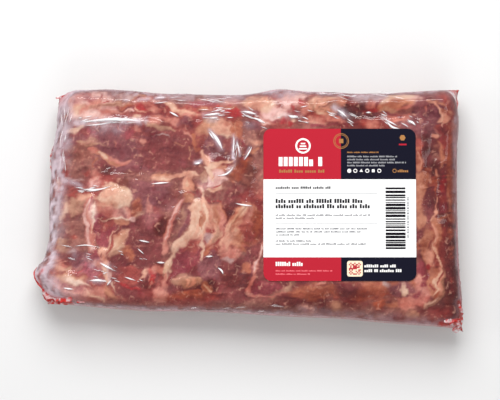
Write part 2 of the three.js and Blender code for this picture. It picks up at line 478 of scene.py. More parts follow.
    def nearness(self, s: Array, t: Array, rounding: Sequence[float]) -> Array:
        """How near places are to the seam, from 1 on it to 0 where a side's rounding ends.

        Args:
            s: Shares of the length.
            t: Shares of the width.
            rounding: The radii of the left, right, near and far sides.

        Returns:
            The nearness of each place.
        """
        left, right, near, far = rounding
        s_waves, t_waves = self.rounding_waves
        change = 1 - self.rounding_change * (1 + np.sin(s_waves * s + t_waves * t)) / 2

        def rise(distance: Array, radius: float) -> Array:
            return clamp01(1 - distance / (radius * change))

        a = rise(s * self.length, left) + rise((1 - s) * self.length, right)
        b = rise(t * self.width, near) + rise((1 - t) * self.width, far)
        return a + b - a * b

    def to_seam(self, s: Array, t: Array) -> Array:
        """The distance from places to the nearest side of the seam."""
        from_ends = np.minimum(s, 1 - s) * self.length
        return np.minimum(from_ends, np.minimum(t, 1 - t) * self.width)

    def upper(
        self, s: Array, t: Array, extra: Callable[[Array, Array], Array] | None = None
    ) -> Array:
        """Points of the upper half.

        Args:
            s: Shares of the length.
            t: Shares of the width.
            extra: Finer relief as a function of the plan place.

        Returns:
            Points, with x, y and z last.
        """
        x, y = np.moveaxis(self.plan(s, t), -1, 0)
        seam = self.seam(x, y)
        edge = self.seam_half_thickness * clamp01(self.to_seam(s, t) / self.seam_taper)
        rise = np.sqrt(1 - self.nearness(s, t, self.upper_rounding) ** 2)
        top = self.top_height(x, y, 0.0 if extra is None else extra(x, y))
        z = seam + edge * (1 - rise) + (top - seam) * rise
        return np.stack([x, y, z], axis=-1)

    def lower(self, s: Array, t: Array) -> Array:
        """Points of the lower half, down to the flat base.

        Args:
            s: Shares of the length.
            t: Shares of the width.

        Returns:
            Points, with x, y and z last.
        """
        x, y = np.moveaxis(self.plan(s, t), -1, 0)
        edge = self.seam_half_thickness * clamp01(self.to_seam(s, t) / self.seam_taper)
        fall = np.sqrt(1 - self.nearness(s, t, self.lower_rounding) ** 2)
        z = (self.seam(x, y) - edge) * (1 - fall)
        return np.stack([x, y, z], axis=-1)


@dataclass(frozen=True)
class FineGrid:
    """The grid lines that the meat and the film are computed on, fine above and coarse below."""

    form: PackForm
    step: float = 1.05
    label_step: float = 2.1
    side_steps: int = 12
    coarse: int = 5
    bed_inset: float = 2

    def side(self, radius: float) -> list[float]:
        """Distances down a rounded side, close together near the seam."""
        quarter = math.pi / 2 / self.side_steps
        return [radius * (1 - math.cos(quarter * k)) for k in range(self.side_steps + 1)]

    def lines(self, size: float, first: float, last: float, wide: tuple[float, float]) -> Array:
        """Grid lines along one axis.

        Args:
            size: The pack's size along it.
            first: The first side's rounding.
            last: The last side's rounding.
            wide: The stretch where wide steps are enough.

        Returns:
            Shares of the size, from 0 to 1.
        """
        lines = self.side(first)
        at = first
        while True:
            at += self.label_step if wide[0] < at < wide[1] else self.step
            if at > size - last - self.step / 2:
                break
            lines.append(at)
        lines += [size - line for line in reversed(self.side(last))]
        return np.array(lines) / size

    def shares(self) -> tuple[Array, Array]:
        """Lays out the grid, with wider steps over the label's bed.

        Returns:
            The grid's shares of the length and of the width.
        """
        form = self.form
        left, right, near, far = form.upper_rounding
        bed_start = form.length / 2 + form.label_centre[0] - form.label_size / 2
        bed_end = bed_start + form.label_size - self.label_step
        bed = (bed_start + self.bed_inset, bed_end - self.bed_inset)
        columns = self.lines(form.length, left, right, bed)
        rows = self.lines(form.width, near, far, (0, 0))
        return np.meshgrid(columns, rows)

    def picks(self, count: int) -> Array:
        """Picks the lines of the lower half: each second one down the sides, and few between.

        Args:
            count: How many lines the fine grid has.

        Returns:
            The numbers of the picked lines.
        """
        last = count - 1
        side = list(range(0, self.side_steps + 1, 2))
        start = self.side_steps + self.coarse
        middle = list(range(start, last - self.side_steps - 1, self.coarse))
        return np.array([*side, *middle, *(last - k for k in reversed(side))])

    def below(self, grid: Array) -> Array:
        """The places of a fine grid that its coarse lower half keeps."""
        return grid[np.ix_(self.picks(grid.shape[0]), self.picks(grid.shape[1]))]


def rounded_corners(x: Array, y: Array, half: Point, corner: float) -> tuple[Array, Array]:
    """Draws the corners of a rectangular grid in, so that they are round.

    Args:
        x: Places from the rectangle's middle.
        y: The same across it.
        half: Half of its length and of its width.
        corner: The corners' radius.

    Returns:
        The new places.
    """
    a = clamp01((np.abs(x) - half[0] + corner) / corner)
    b = clamp01((np.abs(y) - half[1] + corner) / corner)
    drawn_x = np.sign(x) * corner * a * (1 - np.sqrt(1 - b * b / 2))
    drawn_y = np.sign(y) * corner * b * (1 - np.sqrt(1 - a * a / 2))
    return x - drawn_x, y - drawn_y


def rounded_shares(
    form: PackForm, s: Array, t: Array, inset: float, corner: float
) -> tuple[Array, Array]:
    """Draws a grid in from the seam and rounds its corners.

    Args:
        form: The pack.
        s: Shares of the length.
        t: Shares of the width.
        inset: How far in the edge lies.
        corner: The corners' radius.

    Returns:
        The new shares of the length and of the width.
    """
    half = (form.length / 2 - inset, form.width / 2 - inset)
    x, y = rounded_corners((2 * s - 1) * half[0], (2 * t - 1) * half[1], half, corner)
    return 0.5 + x / form.length, 0.5 + y / form.width


def grid_normals(points: Array) -> Array:
    """Unit normals of a grid of points, to the left of its rows as seen from its front."""
    normals = np.cross(np.gradient(points, axis=1), np.gradient(points, axis=0))
    return normals / np.maximum(np.linalg.norm(normals, axis=-1, keepdims=True), TINY)


def blurred(values: Array, reach: int) -> Array:
    """Values averaged over their neighbours on a grid, twice over.

    Args:
        values: The grid's values.
        reach: How many neighbours count on each side.

    Returns:
        The evened values.
    """
    window = 2 * reach + 1
    for _ in range(2):
        for axis in (0, 1):
            edges = [(0, 0), (0, 0)]
            edges[axis] = (reach + 1, reach)
            total = np.cumsum(np.pad(values, edges, mode="edge"), axis=axis)
            total = np.moveaxis(total, axis, 0)
            values = np.moveaxis((total[window:] - total[:-window]) / window, 0, axis)
    return values


def quads(index: Array) -> Array:
    """The faces between neighbours on a grid of point numbers."""
    corners = [index[:-1, :-1], index[:-1, 1:], index[1:, 1:], index[1:, :-1]]
    return np.stack(corners, -1).reshape(-1, 4)


def piece_of(name: str, points: Array, faces: Sequence[Sequence[int]]) -> bpy.types.Object:
    """Makes a mesh and puts it into the scene.

    Args:
        name: The piece's name.
        points: Its points, in millimetres.
        faces: The numbers of each face's points.

    Returns:
        The new object.
    """
    mesh = bpy.data.meshes.new(name)
    mesh.from_pydata((points * METRES).tolist(), [], faces)
    piece = bpy.data.objects.new(name, mesh)
    bpy.context.scene.collection.objects.link(piece)
    return piece


def write_channel(mesh: bpy.types.Mesh, name: str, values: Array) -> None:
    """Gives each point of a mesh a number or a colour.

    Args:
        mesh: The mesh.
        name: The channel's name.
        values: A number for each point, or a row of red, green and blue.
    """
    kind, key = "FLOAT", "value"
    if values.ndim == 2:
        kind, key = "FLOAT_COLOR", "color"
        values = np.concatenate([values, np.ones((len(values), 1))], axis=1)
    attribute = mesh.attributes.new(name, kind, "POINT")
    attribute.data.foreach_set(key, values.astype(np.float32).ravel())


def closed_mesh(
    name: str, grid: FineGrid, top: Array, bottom: Array, channels: dict[str, tuple[Array, Array]]
) -> bpy.types.Object:
    """Makes one closed mesh of a fine upper grid and a coarse lower one that share a border.

    Args:
        name: The piece's name.
        grid: The grid that both were computed on.
        top: The upper points.
        bottom: The lower points, on the coarse lines.
        channels: Values or colours of the upper and the lower points, by channel name.

    Returns:
        The new object.
    """
    rows, columns = top.shape[:2]
    row_picks, column_picks = grid.picks(rows), grid.picks(columns)
    upper = np.arange(rows * columns).reshape(rows, columns)
    inner = (len(row_picks) - 2, len(column_picks) - 2)
    lower = upper.copy()
    fresh = rows * columns + np.arange(inner[0] * inner[1]).reshape(inner)
    lower[np.ix_(row_picks[1:-1], column_picks[1:-1])] = fresh

    faces = quads(upper).tolist()
    for low, high in zip(row_picks, row_picks[1:]):
        for left, right in zip(column_picks, column_picks[1:]):
            wide, tall = right - left, high - low
            near = lower[low, left : right + 1 : 1 if low == 0 else wide]
            far = lower[high, left : right + 1 : 1 if high == rows - 1 else wide]
            start = lower[low : high + 1 : 1 if left == 0 else tall, left]
            end = lower[low : high + 1 : 1 if right == columns - 1 else tall, right]
            around = [*start[:-1], *far[:-1], *end[:0:-1], *near[:0:-1]]
            faces.append([int(k) for k in around])

    points = np.concatenate([top.reshape(-1, 3), bottom[1:-1, 1:-1].reshape(-1, 3)])
    piece = piece_of(name, points, faces)
    piece.data.shade_smooth()
    for channel, (above, below) in channels.items():
        width = above.shape[2:]
        values = [above.reshape(-1, *width), below[1:-1, 1:-1].reshape(-1, *width)]
        write_channel(piece.data, channel, np.concatenate(values))
    return piece


def slab(name: str, sheets: Sequence[tuple[Array, Array]]) -> bpy.types.Object:
    """Makes closed sheets, each of an upper and a lower grid with upright edges, as one object.

    Args:
        name: The piece's name.
        sheets: The upper and the lower points of each sheet.

    Returns:
        The new object. Each sheet's first faces are the upper ones in grid order.
    """

    def border(index: Array) -> Array:
        """The point numbers around a grid."""
        sides = [index[0, :-1], index[:-1, -1], index[-1, :0:-1], index[:0:-1, 0]]
        return np.concatenate(sides)

    points, faces, first = [], [], 0
    for top, bottom in sheets:
        rows, columns = top.shape[:2]
        upper = first + np.arange(rows * columns).reshape(rows, columns)
        lower = upper + rows * columns
        above, below = border(upper), border(lower)
        walls = np.stack([below, np.roll(below, -1), np.roll(above, -1), above], -1)
        faces += [quads(upper), quads(lower)[..., ::-1], walls]
        points += [top.reshape(-1, 3), bottom.reshape(-1, 3)]
        first += 2 * rows * columns
    return piece_of(name, np.concatenate(points), np.concatenate(faces).tolist())


class ShaderTree:
    """A material's nodes, built one call at a time.

    Args:
        name: The material's name.
    """

    def __init__(self, name: str) -> None:
        """Starts an empty node tree."""
        self.material = bpy.data.materials.new(name)
        self.material.use_nodes = True
        self.tree = self.material.node_tree
        self.tree.nodes.clear()

    def add(self, kind: str, inputs: dict | None = None, **settings: object) -> bpy.types.Node:
        """Adds a node.

        Args:
            kind: Blender's name for it, without its ShaderNode prefix.
            inputs: Numbers, colours or other nodes' outputs, by socket name or number.
            **settings: The node's own properties.

        Returns:
            The node.
        """
        node = self.tree.nodes.new("ShaderNode" + kind)
        for key, value in settings.items():
            setattr(node, key, value)
        for key, value in (inputs or {}).items():
            if isinstance(value, bpy.types.NodeSocket):
                self.tree.links.new(value, node.inputs[key])
            elif node.inputs[key].type == "RGBA":
                node.inputs[key].default_value = (*value, 1.0)
            else:
                node.inputs[key].default_value = value
        return node

    def maths(self, operation: str, *values: object) -> bpy.types.NodeSocket:
        """The result of a sum on numbers or outputs."""
        return self.add("Math", dict(enumerate(values)), operation=operation).outputs[0]

    def held(self, value: object, low: float, high: float) -> bpy.types.NodeSocket:
        """A smooth rise from 0 to 1 as a value goes from low to high."""
        inputs = {"Value": value, "From Min": low, "From Max": high}
        return self.add("MapRange", inputs, interpolation_type="SMOOTHSTEP").outputs[0]

    def scaled(self, value: object, low: float, high: float) -> bpy.types.NodeSocket:
        """A value from 0 to 1, stretched to go from low to high."""
        inputs = {"Value": value, "To Min": low, "To Max": high}
        return self.add("MapRange", inputs).outputs[0]

    def mix(self, share: object, first: object, second: object) -> bpy.types.NodeSocket:
        """A colour between two."""
        sockets = {0: share, 6: first, 7: second}
        return self.add("Mix", sockets, data_type="RGBA").outputs[2]

    def shaded(self, colour: object, shade: object) -> bpy.types.NodeSocket:
        """A colour made lighter or darker by a factor."""
        return self.add("VectorMath", {0: colour, 1: shade}, operation="MULTIPLY").outputs[0]

    def channel(self, name: str, output: str = "Fac") -> bpy.types.NodeSocket:
        """One of the mesh's own values, or its colour."""
        return self.add("Attribute", attribute_name=name).outputs[output]

    def surface(
        self, colour: object, roughness: float, shine: float = 0.5, normal: object = None
    ) -> bpy.types.NodeSocket:
        """A plain surface of one material.

        Args:
            colour: Its colour.
            roughness: How much it scatters what it mirrors.
            shine: How much it mirrors.
            normal: The normals of its fine relief, if it has one.

        Returns:
            The shader.
        """
        inputs = {"Base Color": colour, "Roughness": roughness, "Specular IOR Level": shine}
        if normal is not None:
            inputs["Normal"] = normal
        return self.add("BsdfPrincipled", inputs).outputs[0]

    def places(
        self, scale: Sequence[float] = (1, 1, 1), turn: float = 0.0
    ) -> bpy.types.NodeSocket:
        """Places on the piece, in millimetres.

        Args:
            scale: How much they are stretched along each axis.
            turn: How far they are first turned about the upright, in degrees.

        Returns:
            The places.
        """
        source = self.add("TexCoord").outputs["Object"]
        spin = (0.0, 0.0, math.radians(turn))
        spun = self.add("Mapping", {"Vector": source, "Rotation": spin}).outputs[0]
        stretch = tuple(axis / METRES for axis in scale)
        return self.add("Mapping", {"Vector": spun, "Scale": stretch}).outputs[0]

    def noise(
        self, places: object, size: float, detail: float = 3.0, distortion: float = 0.0
    ) -> bpy.types.NodeSocket:
        """Cloudy values from 0 to 1.

        Args:
            places: Where they are read.
            size: How far across a lump is.
            detail: How many finer layers are added.
            distortion: How much the lumps are bent.

        Returns:
            The values.
        """
        inputs = {"Vector": places, "Scale": 1 / size, "Detail": detail, "Distortion": distortion}
        return self.add("TexNoise", inputs).outputs["Fac"]

    def bump(self, height: object, depth: float, strength: float = 1.0) -> bpy.types.NodeSocket:
        """Normals of a fine relief that is depth millimetres high."""
        inputs = {"Height": height, "Distance": depth * METRES, "Strength": strength}
        return self.add("Bump", inputs).outputs[0]

    def finish(self, shader: bpy.types.NodeSocket) -> bpy.types.Material:
        """Ends the tree with a shader, and gives the material."""
        self.add("OutputMaterial", {"Surface": shader})
        return self.material


@dataclass(frozen=True)
class MeatFinish:
    """Raw beef: the painted tissue colours, broken up by grain, threads of fat and veins."""

    thread: Colour = linear(206, 150, 128)
    vein: Colour = linear(92, 26, 30)
    roughness: float = 0.45
    shine: float = 0.2
    fibre_stretch: tuple[float, float, float] = (1, 0.22, 0.5)
    fibre_turn: float = 28
    fibre_size: float = 2.4
    fibre_bend: float = 0.6
    grain_size: float = 2.1
    blotch_size: float = 5.0
    blotch_bend: float = 0.7
    thread_range: Span = (0.56, 0.74)
    thread_share: Span = (0.1, 0.5)
    vein_range: Span = (0.44, 0.3)
    vein_share: Span = (0.08, 0.34)
    fibre_shade: Span = (0.66, 1.34)
    grain_shade: Span = (0.7, 1.3)
    calm: float = 0.6
    relief: float = 0.35
    relief_strength: float = 0.4

    def material(self) -> bpy.types.Material:
        """Builds the material, which reads the loin's painted colour and its fat channel.

        Returns:
            The material.
        """
        tree = ShaderTree("raw_beef")
        places = tree.places()
        along = tree.places(self.fibre_stretch, self.fibre_turn)
        fibre = tree.noise(along, self.fibre_size, distortion=self.fibre_bend)
        grain = tree.noise(places, self.grain_size, detail=2.0)
        blotch = tree.noise(places, self.blotch_size, 4.0, self.blotch_bend)
        fat = tree.channel("fat")
        lean = tree.maths("SUBTRACT", 1.0, fat)
        threads = tree.held(blotch, *self.thread_range)
        threads = tree.maths("MULTIPLY", threads, tree.scaled(lean, *self.thread_share))
        veins = tree.held(blotch, *self.vein_range)
        veins = tree.maths("MULTIPLY", veins, tree.scaled(lean, *self.vein_share))
        colour = tree.mix(threads, tree.channel("tissue", "Color"), self.thread)
        colour = tree.mix(veins, colour, self.vein)
        shade = tree.scaled(fibre, *self.fibre_shade)
        shade = tree.maths("MULTIPLY", shade, tree.scaled(grain, *self.grain_shade))
        calm = tree.maths("MULTIPLY", fat, self.calm)
        shade = tree.add("Mix", {0: calm, 2: shade, 3: 1.0}).outputs[0]
        relief = tree.maths("ADD", fibre, grain)
        normal = tree.bump(relief, self.relief, self.relief_strength)
        colour = tree.shaded(colour, shade)
        return tree.finish(tree.surface(colour, self.roughness, self.shine, normal))


@dataclass(frozen=True)
class FilmFinish:
    """Clear shrink film: a sharp shine, a milky haze with painted highlights, and juice in its tips.
    """

    name: str = "shrink_film"
    haze: Colour = linear(222, 204, 214)
    juice: Colour = linear(176, 40, 34)
    refraction: float = 1.5
    gloss_roughness: float = 0.09
    milk_roughness: float = 0.25
    crackle_size: float = 3.4
    crackle_bend: float = 0.6
    cloud_size: float = 9.0
    cloud_share: Span = (0.55, 1.45)
    thickest: float = 0.9
    relief: float = 0.25
    relief_strength: float = 0.25

    def material(self) -> bpy.types.Material:
        """Builds the material, which reads the film's haze and juice channels.

        Returns:
            The material.
        """
        tree = ShaderTree(self.name)
        places = tree.places()
        crackle = tree.noise(places, self.crackle_size, 2.0, self.crackle_bend)
        cloud = tree.noise(places, self.cloud_size)
        relief = tree.maths("ADD", crackle, cloud)
        normal = tree.bump(relief, self.relief, self.relief_strength)
        inside = tree.add("NewGeometry").outputs["Backfacing"]
        refraction = tree.scaled(inside, self.refraction, 1 / self.refraction)
        shine = tree.add("Fresnel", {"IOR": refraction, "Normal": normal}).outputs[0]
        mirror = {"Color": (1.0, 1.0, 1.0), "Roughness": self.gloss_roughness, "Normal": normal}
        gloss = tree.add("BsdfAnisotropic", mirror).outputs[0]
        clear = tree.add("BsdfTransparent").outputs[0]
        skin = tree.add("MixShader", {0: shine, 1: clear, 2: gloss}).outputs[0]
        colour = tree.mix(tree.channel("juice"), self.haze, self.juice)
        milk = tree.surface(colour, self.milk_roughness, normal=normal)
        cloudy = tree.scaled(cloud, *self.cloud_share)
        haze = tree.maths("MULTIPLY", tree.channel("haze"), cloudy)
        share = tree.maths("MINIMUM", haze, self.thickest)
        return tree.finish(tree.add("MixShader", {0: share, 1: skin, 2: milk}).outputs[0])


@dataclass(frozen=True)
class PlainFinish:
    """Paper or ink of one colour, with a faint fibre grain."""

    name: str
    colour: Colour
    roughness: float = 0.6
    shine: float = 0.06
    fibre_stretch: tuple[float, float, float] = (1, 0.5, 1)
    fibre_turn: float = 35
    fibre_size: float = 0.9
    darkest: float = 0.8
    dark_share: float = 0.09
    relief: float = 0.03
    relief_strength: float = 0.4

    def material(self) -> bpy.types.Material:
        """Builds the material.

        Returns:
            The material.
        """
        tree = ShaderTree(self.name)
        fibres = tree.noise(tree.places(self.fibre_stretch, self.fibre_turn), self.fibre_size, 2.0)
        darker = tuple(self.darkest * c for c in self.colour)
        colour = tree.mix(tree.scaled(fibres, 0.0, self.dark_share), self.colour, darker)
        normal = tree.bump(fibres, self.relief, self.relief_strength)
        return tree.finish(tree.surface(colour, self.roughness, self.shine, normal))


class Tissue(Enum):
    """What the loin is made of: a darker and a lighter colour, as seen, and its share of fat."""

    PURPLE = ((98, 40, 50), (156, 92, 94), 0.1)
    BROWN = ((112, 54, 52), (174, 114, 102), 0.25)
    MAROON = ((98, 34, 40), (148, 74, 72), 0.1)
    RED = ((126, 42, 44), (180, 88, 78), 0.15)
    WINE = ((126, 38, 50), (160, 74, 80), 0.0)
    BLOOD = ((140, 26, 38), (192, 62, 60), 0.0)
    RUST = ((140, 64, 48), (196, 116, 88), 0.4)
    SALMON = ((170, 84, 74), (216, 146, 130), 0.6)
    ORANGE = ((160, 90, 70), (208, 144, 116), 0.75)
    TAN = ((190, 118, 98), (232, 178, 154), 0.8)
    PINK = ((198, 132, 124), (234, 194, 184), 0.85)
    CREAM = ((204, 144, 120), (231, 194, 171), 1.0)
    OLIVE = ((152, 98, 80), (204, 154, 130), 0.6)
    GREY = ((156, 112, 108), (206, 172, 166), 0.4)

    def colour(self, share: Array) -> Array:
        """The linear colour at a share of the way from the darker to the lighter.

        Args:
            share: Values from 0 to 1.

        Returns:
            Colours at the paint's level, none of them lighter than the lightest.
        """
        dark, light = (np.array(linear(*seen)) for seen in self.value[:2])
        colour = PAINT_LEVEL * (dark + (light - dark) * share[..., None])
        return colour * np.minimum(1, LIGHTEST / colour.max(axis=-1, keepdims=True))

    @property
    def fat(self) -> float:
        """How much of the tissue is fat."""
        return self.value[2]


# The tissues' names for the tables of marks, in the order of the class.
(
    PURPLE, BROWN, MAROON, RED, WINE, BLOOD, RUST,
    SALMON, ORANGE, TAN, PINK, CREAM, OLIVE, GREY,
) = Tissue


@dataclass(frozen=True)
class Patch:
    """An oval of one tissue on the loin's top."""

    tissue: Tissue
    centre: Point
    half_length: float
    half_width: float
    turn: float = 0.0
    softness: float = 3.0

    def depth(self, x: Array, y: Array) -> tuple[Array, Array]:
        """Measures how deep places lie in the patch.

        Args:
            x: Places along the loin.
            y: Places across it.

        Returns:
            The depths, 1 well inside, a half on the border and less outside, and the direction of
            the fibres.
        """
        inwards = (1 - oval_share(x, y, self)) * min(self.half_length, self.half_width)
        depth = 0.5 + CRISPNESS * inwards / (2 * self.softness)
        return depth, np.full(x.shape, math.radians(self.turn))


@dataclass(frozen=True)
class Tone:
    """A wide soft oval where the meat's colour is deeper, or paler where it is below 0."""

    deeper: float
    centre: Point
    half_length: float
    half_width: float
    turn: float = 0.0
    reach: float = 1.5

    def over(self, x: Array, y: Array) -> Array:
        """How much deeper the colour is at each place."""
        return self.deeper * smooth_step(self.reach - oval_share(x, y, self))


@dataclass(frozen=True)
class Streak:
    """A strip of one tissue along a few points, thinner at its ends."""

    tissue: Tissue
    path: tuple[Point, ...]
    half_width: float
    softness: float = 1.8
    end_width: float = 0.4
    bluntness: float = 0.6

    def depth(self, x: Array, y: Array) -> tuple[Array, Array]:
        """Measures how deep places lie in the strip.

        Args:
            x: Places along the loin.
            y: Places across it.

        Returns:
            The depths, as a patch gives them, and the strip's direction near the places.
        """
        away, share, heading = path_distance(x, y, self.path)
        swelling = (1 - self.end_width) * np.sin(math.pi * share) ** self.bluntness
        inwards = self.half_width * (self.end_width + swelling) - away
        return 0.5 + CRISPNESS * inwards / (2 * self.softness), heading


FIELDS = (
    Patch(PURPLE, (-120.5, 59), 60, 24, 0, 8),
    Patch(MAROON, (-77, 57), 32, 20, -8, 8),
    Patch(RED, (-65.5, 96.5), 44, 10, -4, 6),
    Patch(BROWN, (-165.5, 43.5), 15, 18, 0, 6),
    Patch(PURPLE, (-97, 12), 26, 14, 0, 8),
    Patch(BROWN, (-167.5, -21.5), 16, 30, 0, 8),
    Patch(MAROON, (-110.5, -41), 28, 46, 0, 10),
    Patch(MAROON, (-22, -69), 44, 24, -8, 8),
    Patch(PURPLE, (-38, -57), 12, 14, 0, 6),
    Patch(BROWN, (-8.5, 33.5), 14, 34, -24, 7),
    Patch(MAROON, (58.5, -78.5), 56, 18, 0, 8),
    Patch(RUST, (131, -82.5), 44, 16, 0, 10),
    Patch(MAROON, (107.5, 94.5), 20, 14, 0, 6),
    Patch(PURPLE, (172.5, 92.5), 26, 22, 0, 6),
    Patch(MAROON, (182.5, 37.5), 24, 46, 0, 8),
    Patch(MAROON, (202, -41), 9, 90, 0, 4),
    Patch(RUST, (200, 27.5), 6, 60, 0, 4),
    Patch(BROWN, (19, -106), 200, 11, 4, 5),
)
FAR_SHOULDER = (
    Patch(PINK, (-153, 100), 27, 15, 0, 4),
    Streak(TAN, ((-171, 106), (-168, 100), (-163, 95)), 3.4, 3),
    Patch(WINE, (-159, 108), 6.5, 2.4, 0, 4),
    Patch(RED, (-172, 106), 3, 1.6, 60, 2.4),
    Patch(WINE, (-151, 97), 4, 1.4, 20, 2.4),
    Patch(RED, (-163, 100), 3, 1.2, -20, 2),
    Patch(WINE, (-147, 108), 3, 1.4, 60, 2),
    Patch(CREAM, (-168, 98), 5, 3.4, 40, 3),
    Patch(PINK, (-141, 100), 4, 2.4, 10, 3),
    Patch(SALMON, (-168, 112), 4, 2.4, 20, 3),
    Patch(RED, (-162, 113), 3, 1.4, 20, 2),
    Patch(SALMON, (-150, 103), 8, 4.5, 0, 4),
    Patch(SALMON, (-163, 96), 4, 3, 40, 3),
    Streak(PINK, ((-146, 115), (-143, 110), (-140, 107)), 2.4, 2),
    Streak(BLOOD, ((-143, 107), (-139, 106)), 0.8, 1.4),
    Streak(RED, ((-147, 114), (-145, 110)), 0.7, 1.4),
    Patch(GREY, (-126, 112), 16, 3.4, -2, 3),
    Streak(BROWN, ((-138, 108), (-126, 109), (-115, 108)), 1.6),
    Streak(ORANGE, ((-120, 109), (-110, 111), (-97, 112)), 1.5),
    Streak(RED, ((-102, 112), (-96, 112)), 0.9),
    Patch(OLIVE, (-134, 103), 16, 4, 12, 4),
    Streak(BROWN, ((-148, 102), (-138, 102), (-128, 105)), 0.8),
    Streak(BROWN, ((-142, 98), (-134, 99), (-126, 101)), 0.7),
    Streak(PINK, ((-124, 106), (-106, 107), (-96, 107), (-84, 109)), 1.3),
    Patch(RUST, (-124, 100), 7, 2.4),
    Patch(MAROON, (-121, 97), 8, 3, -6, 3),
    Streak(PINK, ((-122, 96.5), (-114, 95.5)), 0.6, 1),
    Patch(RED, (-98, 99), 16, 7, -10, 4),
    Patch(SALMON, (-92, 97), 9, 5, -20, 4),
    Patch(BLOOD, (-106, 100), 5, 2.6, 0, 2.6),
    Patch(MAROON, (-87, 102), 5, 2.8),
    Streak(SALMON, ((-108, 105), (-98, 103), (-90, 100)), 1, 2),
    Streak(TAN, ((-114, 104), (-113, 99), (-109, 96), (-101, 95.5), (-94, 97)), 0.7, 1.4),
    Patch(SALMON, (-139, 94), 14, 4, 0, 4),
    Patch(PINK, (-154, 92), 9, 4, 0, 4),
    Patch(CREAM, (-112, 90), 8, 2.8),
    Patch(RED, (-103, 91), 4, 3),
    Patch(SALMON, (-93, 89), 9, 4.5, -20, 4),
    Streak(PINK, ((-172, 86), (-158, 85), (-140, 86.5), (-120, 87), (-106, 86)), 2.6),
    Streak(GREY, ((-173, 88), (-166, 86), (-160, 84)), 2.4, 3),
    Streak(CREAM, ((-178, 73), (-173, 78), (-165, 83)), 3.2),
    Streak(OLIVE, ((-104, 85), (-96, 82), (-86, 79), (-74, 78)), 2.2),
    Patch(BROWN, (-70, 106), 9, 2.8, -6, 3),
    Patch(RED, (-84, 94), 7, 4, -30, 4),
    Patch(SALMON, (-78, 88), 9, 4, -10, 4),
    Patch(PURPLE, (-60, 86), 9, 5.5, 0, 4),
    Patch(MAROON, (-54, 83), 5, 5, 0, 4),
    Streak(TAN, ((-80, 105), (-75, 101), (-68, 96), (-60, 93.5), (-50, 91)), 3.4),
    Streak(CREAM, ((-79, 104), (-74, 101), (-69, 98)), 1.6),
    Streak(SALMON, ((-68, 92), (-60, 92), (-54, 90)), 1.6),
)
DARK_SIDE = (
    Patch(BROWN, (-165, 46), 15, 20, 0, 7),
    Patch(PURPLE, (-128, 65), 14, 6, -6, 4),
    Streak(MAROON, ((-166, 78), (-155, 79), (-140, 78)), 2, 3),
    Streak(WINE, ((-160, 78), (-153, 77.5)), 1.6),
    Streak(GREY, ((-150, 81), (-138, 81), (-126, 80)), 0.9),
    Patch(WINE, (-128, 79), 7, 3),
    Patch(RED, (-112, 77), 6.5, 4.5, 10, 3),
    Patch(SALMON, (-110, 79), 3.4, 2.4, 20, 2.4),
    Patch(WINE, (-118, 74), 4, 3),
    Streak(MAROON, ((-114, 72), (-104, 75), (-92, 74), (-78, 70)), 2),
    Streak(GREY, ((-97, 73.5), (-88, 72.5), (-79, 69.5)), 0.5, 1),
    Patch(SALMON, (-103.5, 67.5), 2.4, 2.2, 0, 2),
    Patch(MAROON, (-174, 68), 4, 5),
    Streak(OLIVE, ((-170, 66), (-158, 69), (-146, 68)), 0.3, 2.4),
    Streak(OLIVE, ((-160, 63), (-148, 64), (-138, 61)), 0.2, 2.4),
    Streak(SALMON, ((-132, 67), (-131, 60)), 0.8, 2),
    Patch(MAROON, (-143, 41), 8.5, 7.5, -10, 3),
    Streak(SALMON, ((-159, 60), (-152, 57), (-146, 53), (-138, 48), (-130, 45), (-116, 45.5)), 2.4),
    Streak(ORANGE, ((-150, 55), (-143, 51.5), (-136, 47), (-127, 44.5)), 2.6),
    Streak(SALMON, ((-138, 50), (-131, 48), (-125, 45)), 1.8),
    Streak(CREAM, ((-149, 55), (-144, 52.5), (-140, 50)), 1.5, 1.4),
    Streak(RUST, ((-151, 49), (-154, 44), (-154, 39)), 0.8),
    Patch(RED, (-160, 34), 4, 5, 0, 4),
    Patch(SALMON, (-153, 29), 7, 4.6, 70, 4),
    Patch(PINK, (-154, 26), 2.4, 2),
    Streak(SALMON, ((-103, 50), (-93, 48), (-84, 44)), 0.7, 1.4),
    Patch(MAROON, (-94, 45), 12, 5, -10, 5),
    Patch(ORANGE, (-82, 32), 9, 4.5, 6, 4),
    Streak(TAN, ((-92, 28.5), (-80, 30), (-70, 33), (-60, 35), (-51, 32)), 2.8),
    Streak(CREAM, ((-88, 28), (-78, 29), (-70, 31)), 1, 1.6),
    Streak(CREAM, ((-58, 36), (-55, 33.5), (-51, 32)), 0.8),
    Streak(ORANGE, ((-73, 64), (-68, 62), (-64, 61)), 0.7),
    Streak(ORANGE, ((-57, 62), (-57, 53), (-59, 49), (-54, 47)), 0.6, 1.4),
    Streak(SALMON, ((-64, 76), (-58, 75), (-53, 70)), 0.7),
    Patch(MAROON, (-52, 52), 4, 6),
)
